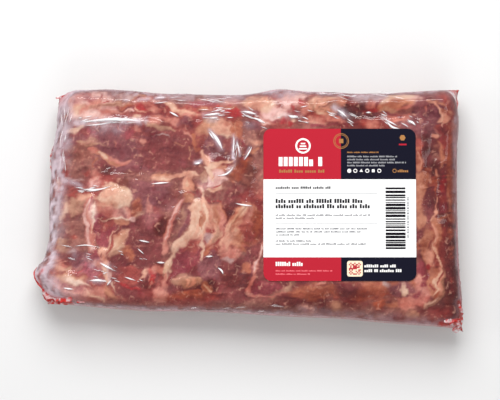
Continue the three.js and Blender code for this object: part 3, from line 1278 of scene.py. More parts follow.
KNOB = (
    Patch(PURPLE, (-104, 14), 18, 10, 0, 6),
    Patch(OLIVE, (-171, 3), 8, 10, 0, 4),
    Patch(BROWN, (-172, -18), 12, 12, 0, 6),
    Patch(OLIVE, (-184, -36), 6, 7, 0, 4),
    Patch(MAROON, (-181, -25), 2.2, 3.4, 20, 2),
    Patch(RED, (-173, -27), 3, 2, 0, 2),
    Streak(MAROON, ((-189, 33), (-180, 28), (-168, 25), (-158, 22)), 1.6),
    Streak(GREY, ((-185, 30), (-172, 29), (-164, 28)), 2, 3),
    Streak(CREAM, ((-180, 14), (-181.5, 2), (-184, -13)), 1.7),
    Streak(PINK, ((-194, 23), (-187, 21)), 4, 3),
    Streak(RED, ((-178, 14), (-168, 14), (-160, 16), (-148, 14)), 2.2),
    Patch(TAN, (-160, 11.5), 8, 3.6, 4, 2.6),
    Streak(SALMON, ((-146, 6), (-150, 0), (-152, -8)), 3, 3),
    Patch(SALMON, (-138, -3), 14, 8, -14, 4),
    Patch(WINE, (-143, -22), 10.5, 17, 10, 3),
    Patch(RED, (-141, -16), 8, 7, 0, 5),
    Patch(RED, (-138, -3), 8, 4, -10, 4),
    Patch(TAN, (-138, 3), 12, 6, -10, 4),
    Patch(SALMON, (-138, -3), 10, 4, -10, 4),
    Patch(CREAM, (-132, 10.5), 14.5, 11.5, -8, 4),
    Patch(CREAM, (-127, 9), 9, 12, -14, 2),
    Patch(TAN, (-138, 15), 6, 5, 20, 4),
    Patch(SALMON, (-119, -4), 3, 5, 10, 2.4),
    Patch(ORANGE, (-126, -14), 7, 4.4, -10, 2.6),
    Streak(CREAM, ((-149, -11), (-141, -13), (-134, -10.5), (-127, -9), (-119, -10)), 0.8, 1.2),
    Patch(RUST, (-111, -1), 6, 9, 0, 4),
    Patch(OLIVE, (-107, -6), 6, 5, 0, 4),
    Patch(PINK, (-115, -11), 2.8, 4, 20, 2.4),
    Streak(SALMON, ((-155, 9), (-159, 2), (-159, -6), (-157, -16), (-156, -28), (-155, -44)), 4.6, 2),
    Streak(
        PINK, ((-156, 8), (-161, 0), (-162, -8), (-159, -18), (-157.5, -30), (-155.5, -42)), 1.7, 1.4
    ),
    Streak(CREAM, ((-150, 5), (-153, -4), (-153, -14), (-154.5, -26)), 1.1, 1.2),
    Streak(WINE, ((-153, 12), (-155, 4), (-156.5, -3)), 0.8, 1.4),
    Streak(RED, ((-158, -12), (-157, -22)), 0.5, 1.2),
    Patch(RUST, (-121, -47), 7, 9, -10, 4),
    Patch(TAN, (-129, -33), 15, 6.5, 60, 3),
    Patch(OLIVE, (-131, -42), 8, 6, 30, 4),
    Patch(CREAM, (-126, -28), 10, 3.6, 60, 4),
    Streak(RED, ((-126.5, -17), (-131, -25), (-135, -33), (-137, -44), (-137, -56)), 0.8, 1.2),
    Streak(CREAM, ((-128.5, -18), (-133, -26), (-137, -34)), 0.7, 1),
    Streak(SALMON, ((-98, 11), (-99, 5)), 1),
    Patch(SALMON, (-98, 0), 4.5, 6),
    Patch(RED, (-92, -1), 4, 5, 0, 4),
    Patch(MAROON, (-98, -13), 14, 9, 0, 5),
)
NEAR_LEFT = (
    Patch(PURPLE, (-167, -50), 11, 8, 0, 4),
    Patch(GREY, (-175, -43), 4, 2.4, 0, 2),
    Patch(WINE, (-152, -47), 7, 4.5),
    Patch(WINE, (-155, -60), 10, 6.5, 10, 3),
    Patch(SALMON, (-147, -55), 4, 3),
    Patch(TAN, (-184, -57), 9, 4, -30, 4),
    Streak(SALMON, ((-192, -47), (-184, -54), (-177, -60)), 2),
    Patch(OLIVE, (-177, -59), 4, 3),
    Streak(BLOOD, ((-177, -64), (-168, -64), (-158, -60)), 1),
    Patch(ORANGE, (-173, -70), 14, 6, -14, 4),
    Patch(CREAM, (-168, -73), 12, 3.6, -18, 3),
    Patch(SALMON, (-149, -82), 13, 5.5, -12, 4),
    Patch(ORANGE, (-137, -83), 8, 5, -40, 3),
    Streak(RED, ((-180, -84), (-170, -87), (-160, -91), (-150, -92)), 1.6, 2.4),
    Streak(TAN, ((-160, -80), (-152, -86), (-144, -90)), 0.8),
    Streak(SALMON, ((-147, -38), (-145, -48), (-143, -56)), 1.4),
    Patch(TAN, (-144, -41), 3.4, 3.6, 30, 2.4),
    Streak(TAN, ((-140, -43), (-141, -52), (-140, -60), (-138, -72)), 3.2),
    Streak(PINK, ((-139, -52), (-138, -61), (-137, -70)), 1.2),
    Streak(CREAM, ((-135, -74), (-130, -81), (-125, -89)), 1.1),
    Patch(MAROON, (-128, -54), 9, 9, 0, 4),
    Patch(RED, (-120, -66), 12, 10, -20, 6),
    Patch(MAROON, (-120, -84), 14, 6, -16, 4),
    Streak(BLOOD, ((-125, -74), (-116, -78), (-106, -81)), 1.8),
    Patch(TAN, (-113, -56), 2.4, 1.2, 0, 1.4),
    Streak(TAN, ((-103, -60), (-104.5, -66), (-107, -70)), 0.9),
    Streak(SALMON, ((-99, -59), (-98, -64), (-99, -70)), 1.8),
    Patch(BLOOD, (-95, -66), 3.4, 7),
    Patch(SALMON, (-88, -60), 6, 3),
)
RIB_STRIPS = (
    Streak(SALMON, ((-66, 11), (-70, 1), (-74, -9), (-79, -22), (-81, -34), (-84, -46)), 3),
    Streak(PINK, ((-66, 11), (-71, 0), (-75, -9), (-79, -20), (-81, -30)), 1.5, 1.6),
    Patch(ORANGE, (-61, 9), 6, 5.5, -10, 2.4),
    Streak(BROWN, ((-62, 1), (-66, -12), (-70, -22), (-74, -31)), 4.2, 2),
    Streak(OLIVE, ((-63, 2), (-67, -8), (-70, -17)), 2, 2.4),
    Patch(TAN, (-62, -37), 9, 8, 40, 3),
    Patch(TAN, (-46, -8), 16, 15, -84, 3),
    Patch(CREAM, (-52, -8), 16, 6, 88, 2.6),
    Patch(CREAM, (-56, -24), 9, 5, 56, 3),
    Patch(TAN, (-50, -28), 12, 4, 80, 3),
    Streak(PURPLE, ((-59.5, -3), (-61, -13), (-65, -22), (-69, -30)), 2.2, 1.4),
    Streak(CREAM, ((-60, -27), (-68, -34), (-74, -43), (-79, -55), (-81, -68)), 3.2),
    Patch(TAN, (-34, -9), 15, 9, 84, 4),
    Patch(ORANGE, (-31, -6), 12, 5, 80, 4),
    Patch(SALMON, (-27, -10), 12, 2.4, 96, 3),
    Patch(TAN, (-35, -30), 10, 5, 60, 4),
    Streak(CREAM, ((-44, 2), (-41, -6), (-38, -14), (-34, -22)), 1.6, 2.4),
    Streak(CREAM, ((-37, 3), (-34, -6), (-32, -14)), 0.8, 2),
    Streak(RUST, ((-39, 0), (-37, -8), (-34, -15)), 0.5, 1.6),
    Streak(RUST, ((-33, 0), (-31, -8), (-30, -16)), 0.5, 1.6),
    Patch(ORANGE, (-45.5, -13), 2.9, 10, 0, 1.3),
    Streak(RUST, ((-46, -3), (-48.3, -10), (-48, -19), (-45, -23)), 0.6, 1),
    Streak(CREAM, ((-42.5, -2), (-42.5, -12), (-44, -22)), 0.8, 1),
    Patch(RED, (-37.5, -23), 3.4, 3, 0, 2.4),
    Patch(GREY, (-40, -29), 3.6, 4, 0, 2.4),
    Streak(OLIVE, ((-30, -19), (-31, -27), (-35, -35)), 2, 2),
    Streak(CREAM, ((-47, -22), (-46.5, -31), (-45, -38)), 2, 1.6),
    Streak(CREAM, ((-45, -36), (-46, -44), (-47, -52)), 1.1, 1.4),
    Patch(RUST, (-41, -41), 3.4, 6, -14, 2.4),
    Patch(PURPLE, (-38, -55), 11, 8, 0, 4),
    Patch(TAN, (-53, -32), 8, 5, 30, 3),
    Patch(WINE, (-63, -50.5), 21, 11.5, 54, 3),
    Patch(RED, (-57, -39), 8, 6, 40, 6),
    Streak(CREAM, ((-76, -44), (-79, -54), (-81, -64), (-82, -74)), 1.6, 1.4),
    Patch(OLIVE, (-63, -71), 14, 7.5, 4, 2.6),
    Streak(TAN, ((-78, -69), (-69, -68.5), (-60, -64)), 0.8, 1.2),
    Streak(TAN, ((-60, -65), (-54, -68), (-53, -73), (-58, -77)), 0.8, 1.2),
    Streak(TAN, ((-62, -69), (-58, -71), (-60, -75)), 0.6, 1.2),
    Streak(SALMON, ((-81, -66), (-83, -74), (-87, -84)), 2.6, 2),
    Patch(SALMON, (-87, -84), 7, 5, 0, 2.6),
    Patch(MAROON, (-70, -80), 12, 5, -20, 3),
    Patch(RUST, (-54, -86), 16, 4, 0, 4),
    Patch(ORANGE, (-42, -77), 4.5, 5, 30, 2),
    Streak(CREAM, ((-44, -74), (-40, -78), (-38, -84)), 0.8, 1.2),
    Patch(RED, (-39, -88), 8, 4, 0, 4),
    Streak(PINK, ((-45, -47.5), (-36, -47)), 1, 1.4),
)
KNUCKLE = (
    Patch(WINE, (-45, 104), 10, 2, 0, 2.4),
    Streak(RED, ((-54, 98), (-44, 98), (-34, 97)), 1.2),
    Streak(ORANGE, ((-50, 97), (-42, 97)), 0.6),
    Patch(TAN, (-26, 82), 17, 8, 0, 4),
    Patch(OLIVE, (-41, 83), 7, 4, -10, 3),
    Patch(GREY, (-36, 87), 6, 2.8),
    Patch(RUST, (-12, 84), 6.5, 13),
    Streak(ORANGE, ((-13, 92), (-13, 82), (-14, 74)), 1, 1.6),
    Streak(TAN, ((-22, 90), (-21, 80)), 1.6, 3),
    Patch(BLOOD, (-28, 100), 5, 2.6, 0, 2),
    Patch(ORANGE, (-19, 99), 7, 3),
    Patch(BLOOD, (-19, 101.5), 3, 1.2, 0, 1.6),
    Patch(RED, (-18, 92), 12, 6, 0, 4),
    Patch(BLOOD, (-15, 94.5), 8, 3.4),
    Streak(CREAM, ((-26, 102), (-25, 97)), 0.7, 1),
    Patch(RED, (-51, 85), 4, 6, 0, 4),
    Patch(ORANGE, (-45, 77), 7, 4, -20, 2.6),
    Patch(CREAM, (-24, 72.5), 7, 2.4, -4, 2),
    Patch(PURPLE, (-30, 59), 17.5, 14.5, -10, 2.2),
    Patch(WINE, (-33, 48), 7, 5, -20, 4),
    Patch(MAROON, (-18, 64), 7, 8, 0, 4),
    Streak(RUST, ((-53, 74), (-51, 64), (-49, 56)), 1.5),
    Streak(TAN, ((-47, 57), (-44, 50), (-39, 43)), 3.2),
    Streak(CREAM, ((-47, 56), (-45, 51)), 1.2, 1.6),
    Patch(ORANGE, (-29, 38), 10, 4, 16, 2.6),
    Streak(CREAM, ((-43, 41), (-33, 41), (-24, 45), (-13, 48.5)), 1.7, 1.4),
    Patch(GREY, (-16, 40), 7.5, 3.6, 60, 2.4),
    Patch(OLIVE, (-46, 31), 4, 6.5, 0, 2),
    Patch(PINK, (-32, 28.5), 10, 9.5, -10, 2.2),
    Streak(CREAM, ((-42.5, 40), (-38, 34), (-35, 27)), 2.4),
    Streak(SALMON, ((-34, 35), (-37, 29), (-37, 24)), 0.6, 1.2),
    Patch(TAN, (-60, 25), 7, 8.5, 0, 2.4),
    Streak(CREAM, ((-63, 30), (-62, 22)), 0.8, 1.4),
    Streak(SALMON, ((-50, 24), (-46, 20), (-46, 13)), 3, 2),
    Streak(CREAM, ((-50, 22), (-44, 18), (-46, 10), (-45, 4)), 1.5, 1.6),
    Streak(WINE, ((-52, 20), (-52, 15), (-48, 9)), 1, 1.4),
    Patch(CREAM, (-34, 19), 8, 2.6, 0, 1.8),
    Streak(BLOOD, ((-41, 21), (-34, 21.5), (-27, 20.5)), 0.6, 1),
    Patch(BROWN, (-35, 13.5), 9, 4.4, 0, 2.4),
    Streak(BLOOD, ((-43, 7), (-36, 8), (-27, 10)), 0.8, 1.2),
    Streak(RUST, ((-28, 9), (-25, 2), (-24, -8)), 1.2, 1.6),
    Patch(SALMON, (-50, 3), 7, 4),
    Streak(BLOOD, ((-66, 12), (-60, 15), (-52, 12)), 0.7, 1.4),
)
SLANTING = (
    Patch(MAROON, (-18, 8), 8, 20, -14, 4),
    Patch(RUST, (-9, 36), 6, 15, -40, 3),
    Patch(RED, (-4, 49), 6, 3.4, 30, 2.4),
    Streak(ORANGE, ((-2, 51), (4, 56), (9, 61)), 2.4),
    Streak(WINE, ((-10, 66), (-5, 60), (-2, 52)), 1.6, 2.4),
    Patch(TAN, (9, 66), 8, 3),
    Patch(BROWN, (6, 36), 8, 8, -30, 4),
    Patch(RUST, (-3, -20), 14, 26, -26, 4),
    Patch(SALMON, (-4, -14), 8, 16, -16, 4),
    Patch(ORANGE, (-13, -31), 7, 8, -20, 4),
    Patch(RED, (-1, -27), 7, 9, 0, 5),
    Streak(RED, ((-8, -16.5), (-2, -17), (4, -20)), 0.7, 1.4),
    Patch(SALMON, (-18, -45), 9, 7, 10, 4),
    Patch(GREY, (-20, -50), 5, 3),
    Patch(TAN, (-13, -14), 23, 6.5, 57, 3),
    Patch(TAN, (-22, -31), 10, 6, 66, 4),
    Streak(OLIVE, ((-4, 0), (-10, -8), (-16, -17), (-20, -27)), 1.4, 2.4),
    Streak(CREAM, ((-5, 1), (-12, -8), (-18, -17), (-23, -27)), 1.3, 2.4),
    Streak(CREAM, ((-3, -3), (-9, -12), (-15, -23)), 0.7, 1.6),
    Streak(OLIVE, ((-27, -20), (-29, -28), (-32, -34)), 1.6, 2),
    Streak(SALMON, ((-25, -34), (-24, -40), (-27, -50)), 1),
    Patch(MAROON, (0, -50), 7, 20, -30, 4),
    Patch(RUST, (-4, -60), 5, 4),
    Patch(PURPLE, (3, -65), 3, 5, -20, 2.4),
    Patch(WINE, (15, -80), 18, 8.5, 4, 3),
    Streak(SALMON, ((13, -33), (9, -47), (7, -60), (2, -73), (-2, -81), (2, -86), (14, -88)), 2),
    Streak(PINK, ((12, -36), (8.5, -50), (6, -62)), 0.8, 1.4),
    Streak(SALMON, ((14, -88), (26, -87), (36, -82)), 1),
    Patch(BROWN, (3, 72), 8, 5, 0, 4),
)
FAR_SIDE = (
    Patch(TAN, (8, 105), 14, 8, 6, 3),
    Patch(BROWN, (14, 112.5), 8, 2.4, 0, 2.4),
    Streak(OLIVE, ((-6, 104), (4, 108), (18, 111)), 0.9, 1.2),
    Streak(OLIVE, ((2, 99), (8, 103), (15, 105)), 0.7, 1.2),
    Streak(RED, ((19, 111), (28, 108), (37, 103)), 0.6, 1),
    Streak(BROWN, ((18, 107), (26, 105), (33, 102)), 0.6, 1),
    Patch(PURPLE, (6, 81), 12, 4, -10, 3),
    Patch(RED, (33, 85), 11, 6),
    Patch(BLOOD, (33, 86.5), 3, 2.4, 0, 2),
    Patch(BLOOD, (41, 84), 2, 3, 0, 2),
    Patch(PINK, (25, 95), 16, 7, 10, 3),
    Patch(CREAM, (18, 99), 10, 4, 16, 3),
    Patch(PINK, (42, 108), 13, 7, 24, 4),
    Patch(SALMON, (20, 86), 8, 3.4, -16, 3),
    Streak(PINK, ((5, 90), (12, 88), (20, 84)), 1.5),
    Patch(SALMON, (57, 98), 8, 8, 0, 4),
    Patch(RED, (39, 97), 3.4, 2.4, 0, 2),
    Patch(TAN, (72, 98), 15, 14, -14, 3),
    Patch(TAN, (88, 105), 11, 6, -10, 4),
    Patch(OLIVE, (84, 103), 8, 3, -20, 3),
    Streak(OLIVE, ((63, 112), (60, 104), (62, 96), (69, 91)), 0.8, 1.1),
    Streak(CREAM, ((66, 112), (63, 104), (65, 97), (72, 93), (82, 92)), 1, 1.1),
    Streak(OLIVE, ((69, 110), (67, 104), (70, 99), (78, 96), (86, 97)), 0.7, 1.1),
    Streak(BROWN, ((69, 101), (74, 101.5), (80, 105), (86, 107)), 0.6, 1),
    Streak(CREAM, ((72, 107), (77, 107), (84, 110)), 0.9, 1.1),
    Streak(BLOOD, ((42.5, 104), (44.5, 98), (48.5, 93)), 1.5),
    Patch(BLOOD, (52, 106.5), 2.4, 2.8, 0, 1.8),
    Patch(RED, (64, 114), 3.4, 1.4, 0, 1.8),
    Streak(RED, ((50, 92), (60, 94.5), (70, 88), (80, 86)), 2, 2.6),
    Streak(SALMON, ((52, 88), (64, 89), (76, 84)), 1.6, 2.4),
    Patch(SALMON, (84, 89), 8, 4, -20, 3),
    Patch(CREAM, (45, 87.5), 3, 2.6, 0, 2),
    Streak(WINE, ((62, 81.5), (74, 83), (90, 82), (106, 83)), 1.6, 2.4),
    Patch(GREY, (92, 94), 6, 3.4, -50, 3),
    Patch(MAROON, (104, 94), 9, 12, 0, 2.6),
    Patch(RED, (104, 104), 8, 3.6, -6, 3),
    Patch(GREY, (118, 109), 14, 4.4, 4, 3),
    Patch(SALMON, (121, 103), 7.5, 3.6, 10, 3),
    Patch(BLOOD, (120, 97.5), 9, 2.4, 4, 2.4),
    Patch(CREAM, (118.5, 95), 2, 1.4, 0, 1.4),
    Patch(SALMON, (121, 85), 9, 5, -30, 4),
    Patch(RED, (112, 86), 4, 5, 0, 4),
    Patch(SALMON, (147, 91), 15, 5, 6, 3),
    Patch(PINK, (149, 108), 19, 6.5, 4, 2.4),
    Patch(ORANGE, (145, 103), 15, 3.6, 8, 2.4),
    Streak(CREAM, ((131, 105), (138, 110), (150, 111), (164, 112)), 2.4, 2),
    Streak(RED, ((126, 101), (129, 106), (134, 111)), 0.7, 1),
    Patch(OLIVE, (138, 97), 8.5, 3.2, 12, 1.8),
    Patch(BROWN, (154, 97), 8, 4, 20, 3),
    Streak(SALMON, ((146, 100), (155, 99), (162, 104)), 0.8, 1.4),
    Streak(WINE, ((129, 93), (140, 93), (151, 91)), 1.4, 1.8),
)
RIGHT_END = (
    Patch(PURPLE, (173, 88), 12, 20, 0, 4),
    Patch(RED, (198, 97), 5, 11),
    Patch(RED, (192, 70), 8, 12, 0, 5),
    Patch(MAROON, (193, 76), 4, 5),
    Streak(ORANGE, ((184, 107), (191, 103), (199, 100)), 1.6, 2),
    Streak(TAN, ((176, 107), (183, 105), (187, 99), (190, 93)), 1.9),
    Patch(TAN, (191.5, 89), 4.6, 6, -16, 1.8),
    Streak(ORANGE, ((190, 94), (195, 97), (200, 97)), 1.6),
    Streak(CREAM, ((188, 98), (190, 90), (190, 85)), 1.4, 1.4),
    Streak(SALMON, ((173.5, 100), (173, 94)), 0.8, 1.4),
    Patch(TAN, (181.5, 73.5), 4.4, 2.5, -8, 1.4),
    Streak(SALMON, ((184.5, 81), (185.5, 76), (187.5, 73)), 0.6, 1),
    Streak(ORANGE, ((184.5, 70), (186, 66), (189.5, 60), (191, 53), (190, 46), (188, 41)), 1.5),
    Patch(BROWN, (184, 56), 4, 8, 0, 4),
    Patch(RED, (166, 62), 4, 9),
    Patch(RUST, (167, 48), 5.5, 12),
    Streak(TAN, ((165, 56), (167.5, 50), (168.5, 42)), 1.3, 1.4),
    Patch(BLOOD, (169, 55), 1.6, 3.6, 10, 1.8),
    Patch(MAROON, (175.5, 48), 4.4, 8.5, 0, 2),
    Patch(ORANGE, (167, 10), 5, 32, 0, 2.6),
    Patch(RUST, (176, 38), 4.4, 4, 0, 2.4),
    Patch(ORANGE, (172.5, 27), 5, 10, 0, 2),
    Patch(RUST, (180, 28), 4.4, 7),
    Patch(TAN, (184.5, 36.5), 1.9, 3.4, 10, 1.4),
    Streak(TAN, ((170, 30), (169, 22), (174, 21), (178, 21)), 0.7, 1.1),
    Patch(MAROON, (177.5, 3), 4.2, 17, 0, 2.4),
    Patch(WINE, (190.5, 14), 4.6, 20, 0, 1.6),
    Patch(BLOOD, (190.5, 24), 3, 7),
    Patch(RED, (189, 11), 4, 4),
    Streak(RUST, ((184.5, 32), (184.5, 20), (184, 10)), 1.4, 2),
    Streak(ORANGE, ((196, 33), (195.5, 20), (196, 5), (196.5, -7)), 1.2, 1.3),
    Streak(TAN, ((183, 10), (183, 0), (184, -9)), 1.3, 1.3),
    Streak(ORANGE, ((184, -10), (190, -8), (197, -8)), 1, 1.4),
    Patch(TAN, (185.5, -11.5), 4.4, 2.8, 0, 1.6),
    Patch(ORANGE, (168.5, -12), 5.5, 8, 0, 2),
    Patch(MAROON, (166.5, -27), 3.8, 7.5, 0, 2),
    Patch(ORANGE, (175.5, -38), 6.5, 20, 0, 2.6),
    Patch(TAN, (176, -46), 4, 9, 0, 4),
    Patch(RUST, (167, -37), 2.8, 4, 0, 2),
    Patch(MAROON, (167, -48.5), 3.2, 4.4, 20, 2),
    Streak(RED, ((179, -27), (179, -34), (180, -41)), 0.8, 1.2),
    Patch(ORANGE, (185.5, -24), 3.2, 14, 4, 2),
    Streak(TAN, ((182.5, -17), (182.5, -25), (183, -33), (185.5, -44)), 1.8, 1.4),
    Streak(CREAM, ((182, -29), (183, -37), (185, -45), (187.5, -52), (190, -59)), 0.9, 1),
    Patch(ORANGE, (181, -73), 8, 15, 8, 2.4),
    Patch(TAN, (188, -72), 4, 13, 0, 2),
    Patch(WINE, (169, -62), 5, 9, 20, 3),
    Patch(SALMON, (166, -68), 2, 4, 0, 2),
    Patch(BLOOD, (176, -59.5), 2, 4, 0, 2),
    Patch(RED, (180.5, -77), 1.2, 1.6, 0, 1.2),
    Patch(SALMON, (168, -86), 10, 12),
    Patch(SALMON, (156, -93), 8, 6, -10, 4),
    Patch(WINE, (166, -86), 4, 2.4, -10, 2.4),
    Patch(WINE, (172, -76), 3, 2, 0, 2),
    Streak(
        OLIVE, ((190.5, -60), (192, -68), (191, -78), (187, -87), (181, -94), (173, -98)), 1.4, 1.2
    ),
    Streak(RED, ((189.5, -63), (187.5, -69), (186.5, -75)), 0.8, 1),
    Streak(CREAM, ((189, -61), (185, -68), (184.5, -77), (181, -85)), 0.9, 1.1),
    Streak(RUST, ((185, -80), (182, -86), (178, -90)), 1.2, 1.4),
    Streak(CREAM, ((182, -88), (177, -93), (171, -96.5)), 1.8, 1.6),
    Patch(PURPLE, (147, -79), 12, 7, 0, 4),
    Patch(CREAM, (152, -80), 3.4, 4.8, 8, 1.2),
    Streak(ORANGE, ((152, -101), (158, -103), (166, -105)), 1.4, 2),
    Streak(RED, ((200, -66), (200, -75), (197, -84)), 0.6, 1.2),
)
NEAR_SIDE = (
    Patch(RUST, (66, -82), 26, 9, 0, 5),
    Patch(MAROON, (98, -80), 16, 6, 0, 5),
    Patch(BROWN, (22, -93), 20, 4, 6, 3),
    Streak(OLIVE, ((46, -71), (38, -78), (26, -85), (8, -88)), 2.2, 2.4),
    Patch(OLIVE, (24, -87), 4, 3, -30, 3),
    Streak(MAROON, ((4, -99), (20, -98), (36, -94)), 0.8, 1.4),
    Streak(TAN, ((46, -95), (56, -97), (64, -101)), 0.9, 1.4),
    Streak(SALMON, ((63, -74), (70, -72), (76, -71)), 1.2, 1.4),
    Patch(OLIVE, (86, -96), 5, 3),
    Patch(RUST, (118, -78), 4, 4),
    Patch(RUST, (128, -94), 5, 4),
    Patch(ORANGE, (141, -96), 4.5, 3),
    Patch(GREY, (135, -75.5), 3.4, 1.8, -20, 1.6),
)
MARKS = (
    *FIELDS, *NEAR_SIDE, *FAR_SHOULDER, *DARK_SIDE, *KNOB, *NEAR_LEFT, *FAR_SIDE, *SLANTING,
    *KNUCKLE, *RIB_STRIPS, *RIGHT_END,
)

TONES = (
    Tone(0.36, (198, -20), 118, 14, 90),
    Tone(0.35, (178, 42), 32, 9, 90),
    Tone(0.3, (178, -48), 28, 9, 90),
    Tone(0.38, (116, -90), 92, 9),
    Tone(0.45, (114, 97), 54, 12),
    Tone(0.3, (108, 80), 30, 5),
    Tone(0.25, (177, 104), 10, 6),
    Tone(0.6, (-51, -75), 17, 7),
    Tone(0.7, (-85, -19), 8, 7, 70),
    Tone(0.3, (-127, -32), 9, 5, 60),
    Tone(0.25, (-167, 57), 14, 9),
    Tone(0.25, (-9, -17), 12, 9, 60),
    Tone(0.25, (-19, -71), 10, 7),
    Tone(-0.3, (-16, 105), 9, 5),
    Tone(0.35, (-58, -87), 32, 5),
    Tone(0.3, (-37, -78), 7, 5),
    Tone(0.35, (-84, -60), 7, 7),
    Tone(0.5, (-16, -5), 9, 8, 60),
    Tone(0.5, (-29, 51), 8, 8),
    Tone(0.4, (-126, 24), 7, 6),
    Tone(0.35, (9, -18), 14, 6, 90),
    Tone(-0.45, (-178, -76), 20, 9, -8),
    Tone(-0.3, (-172, -88), 14, 5, -8),
    Tone(-0.3, (-160, -61), 14, 6),
    Tone(-0.45, (-153, -5), 13, 5, 90),
    Tone(-0.4, (-153, 24), 7, 6),
    Tone(-0.45, (-43, 24), 8, 7),
    Tone(-0.3, (-126, -6), 7, 6),
    Tone(-0.3, (26, 93), 12, 7),
    Tone(-0.25, (-97, -7), 14, 9, 90),
    Tone(-0.3, (170, -88), 13, 7),
    Tone(0.35, (-57, 23), 7, 6),
    Tone(0.35, (-2, 38), 19, 8, 90),
    Tone(0.35, (-2, -74), 9, 8),
    Tone(0.3, (-139, 38), 8, 6),
    Tone(0.35, (-98, -75), 8, 6),
    Tone(-0.25, (-139, -60), 8, 6),
)


@dataclass
class Fibres:
    """Streaks in the meat that run along the marks near them, on a square grid of 1 mm.

    Args:
        marks: The painted marks, which give the fibres their direction.
    """

    marks: Sequence[Patch | Streak]
    half_length: int = 220
    half_width: int = 128
    far: float = -3.0
    drift: float = 0.06
    drift_size: float = 46
    drift_turn: float = 0.2

    def __post_init__(self) -> None:
        """Works out the fibres' direction."""
        across = np.arange(-self.half_width, self.half_width + 1.0)
        along = np.arange(-self.half_length, self.half_length + 1.0)
        self.x, self.y = np.meshgrid(along, across)
        drift = math.pi * Noise(41).at(self.flat(self.x, self.y), self.drift_size)
        double = self.drift * np.exp(2j * (drift + self.drift_turn))
        for mark in self.marks:
            depth, heading = mark.depth(self.x, self.y)
            weight = smooth_step((depth - self.far) / (1 - self.far)) ** 3
            double = double + weight * np.exp(2j * heading)
        self.heading = np.exp(0.5j * np.angle(double))

    @staticmethod
    def flat(x: Array, y: Array) -> Array:
        """Plan places as points at height 0."""
        return np.stack([x, y, np.zeros_like(x)], axis=-1)

    def read(self, values: Array, x: Array, y: Array) -> Array:
        """Reads values of the square grid at any plan places.

        Args:
            values: The grid's values.
            x: Places along the loin.
            y: Places across it.

        Returns:
            The values there, blended between the nearest four.
        """
        column = np.clip(x + self.half_length, 0, values.shape[1] - 1.001)
        row = np.clip(y + self.half_width, 0, values.shape[0] - 1.001)
        i, j = column.astype(int), row.astype(int)
        u, v = column - i, row - j
        low = values[j, i] * (1 - u) + values[j, i + 1] * u
        high = values[j + 1, i] * (1 - u) + values[j + 1, i + 1] * u
        return low * (1 - v) + high * v

    def streaks(self, seed: int, width: float, reach: int) -> Array:
        """Smears a noise along the fibres.

        Args:
            seed: Which noise it is.
            width: How wide the streaks are.
            reach: How far each is smeared to both sides.

        Returns:
            Values on the square grid, with a mean of 0 and a spread of 1.
        """
        noise = Noise(seed).layered(self.flat(self.x, self.y), width, 2)
        total = noise.copy()
        for way in (1, -1):
            x, y, step = self.x, self.y, way * self.heading
            for _ in range(reach):
                x, y = x + step.real, y + step.imag
                total = total + self.read(noise, x, y)
                there = self.read(self.heading, x, y)
                turn = np.where((there * np.conj(step)).real < 0, -1.0, 1.0)
                step = turn * there / np.maximum(np.abs(there), TINY)
        return standard(total)


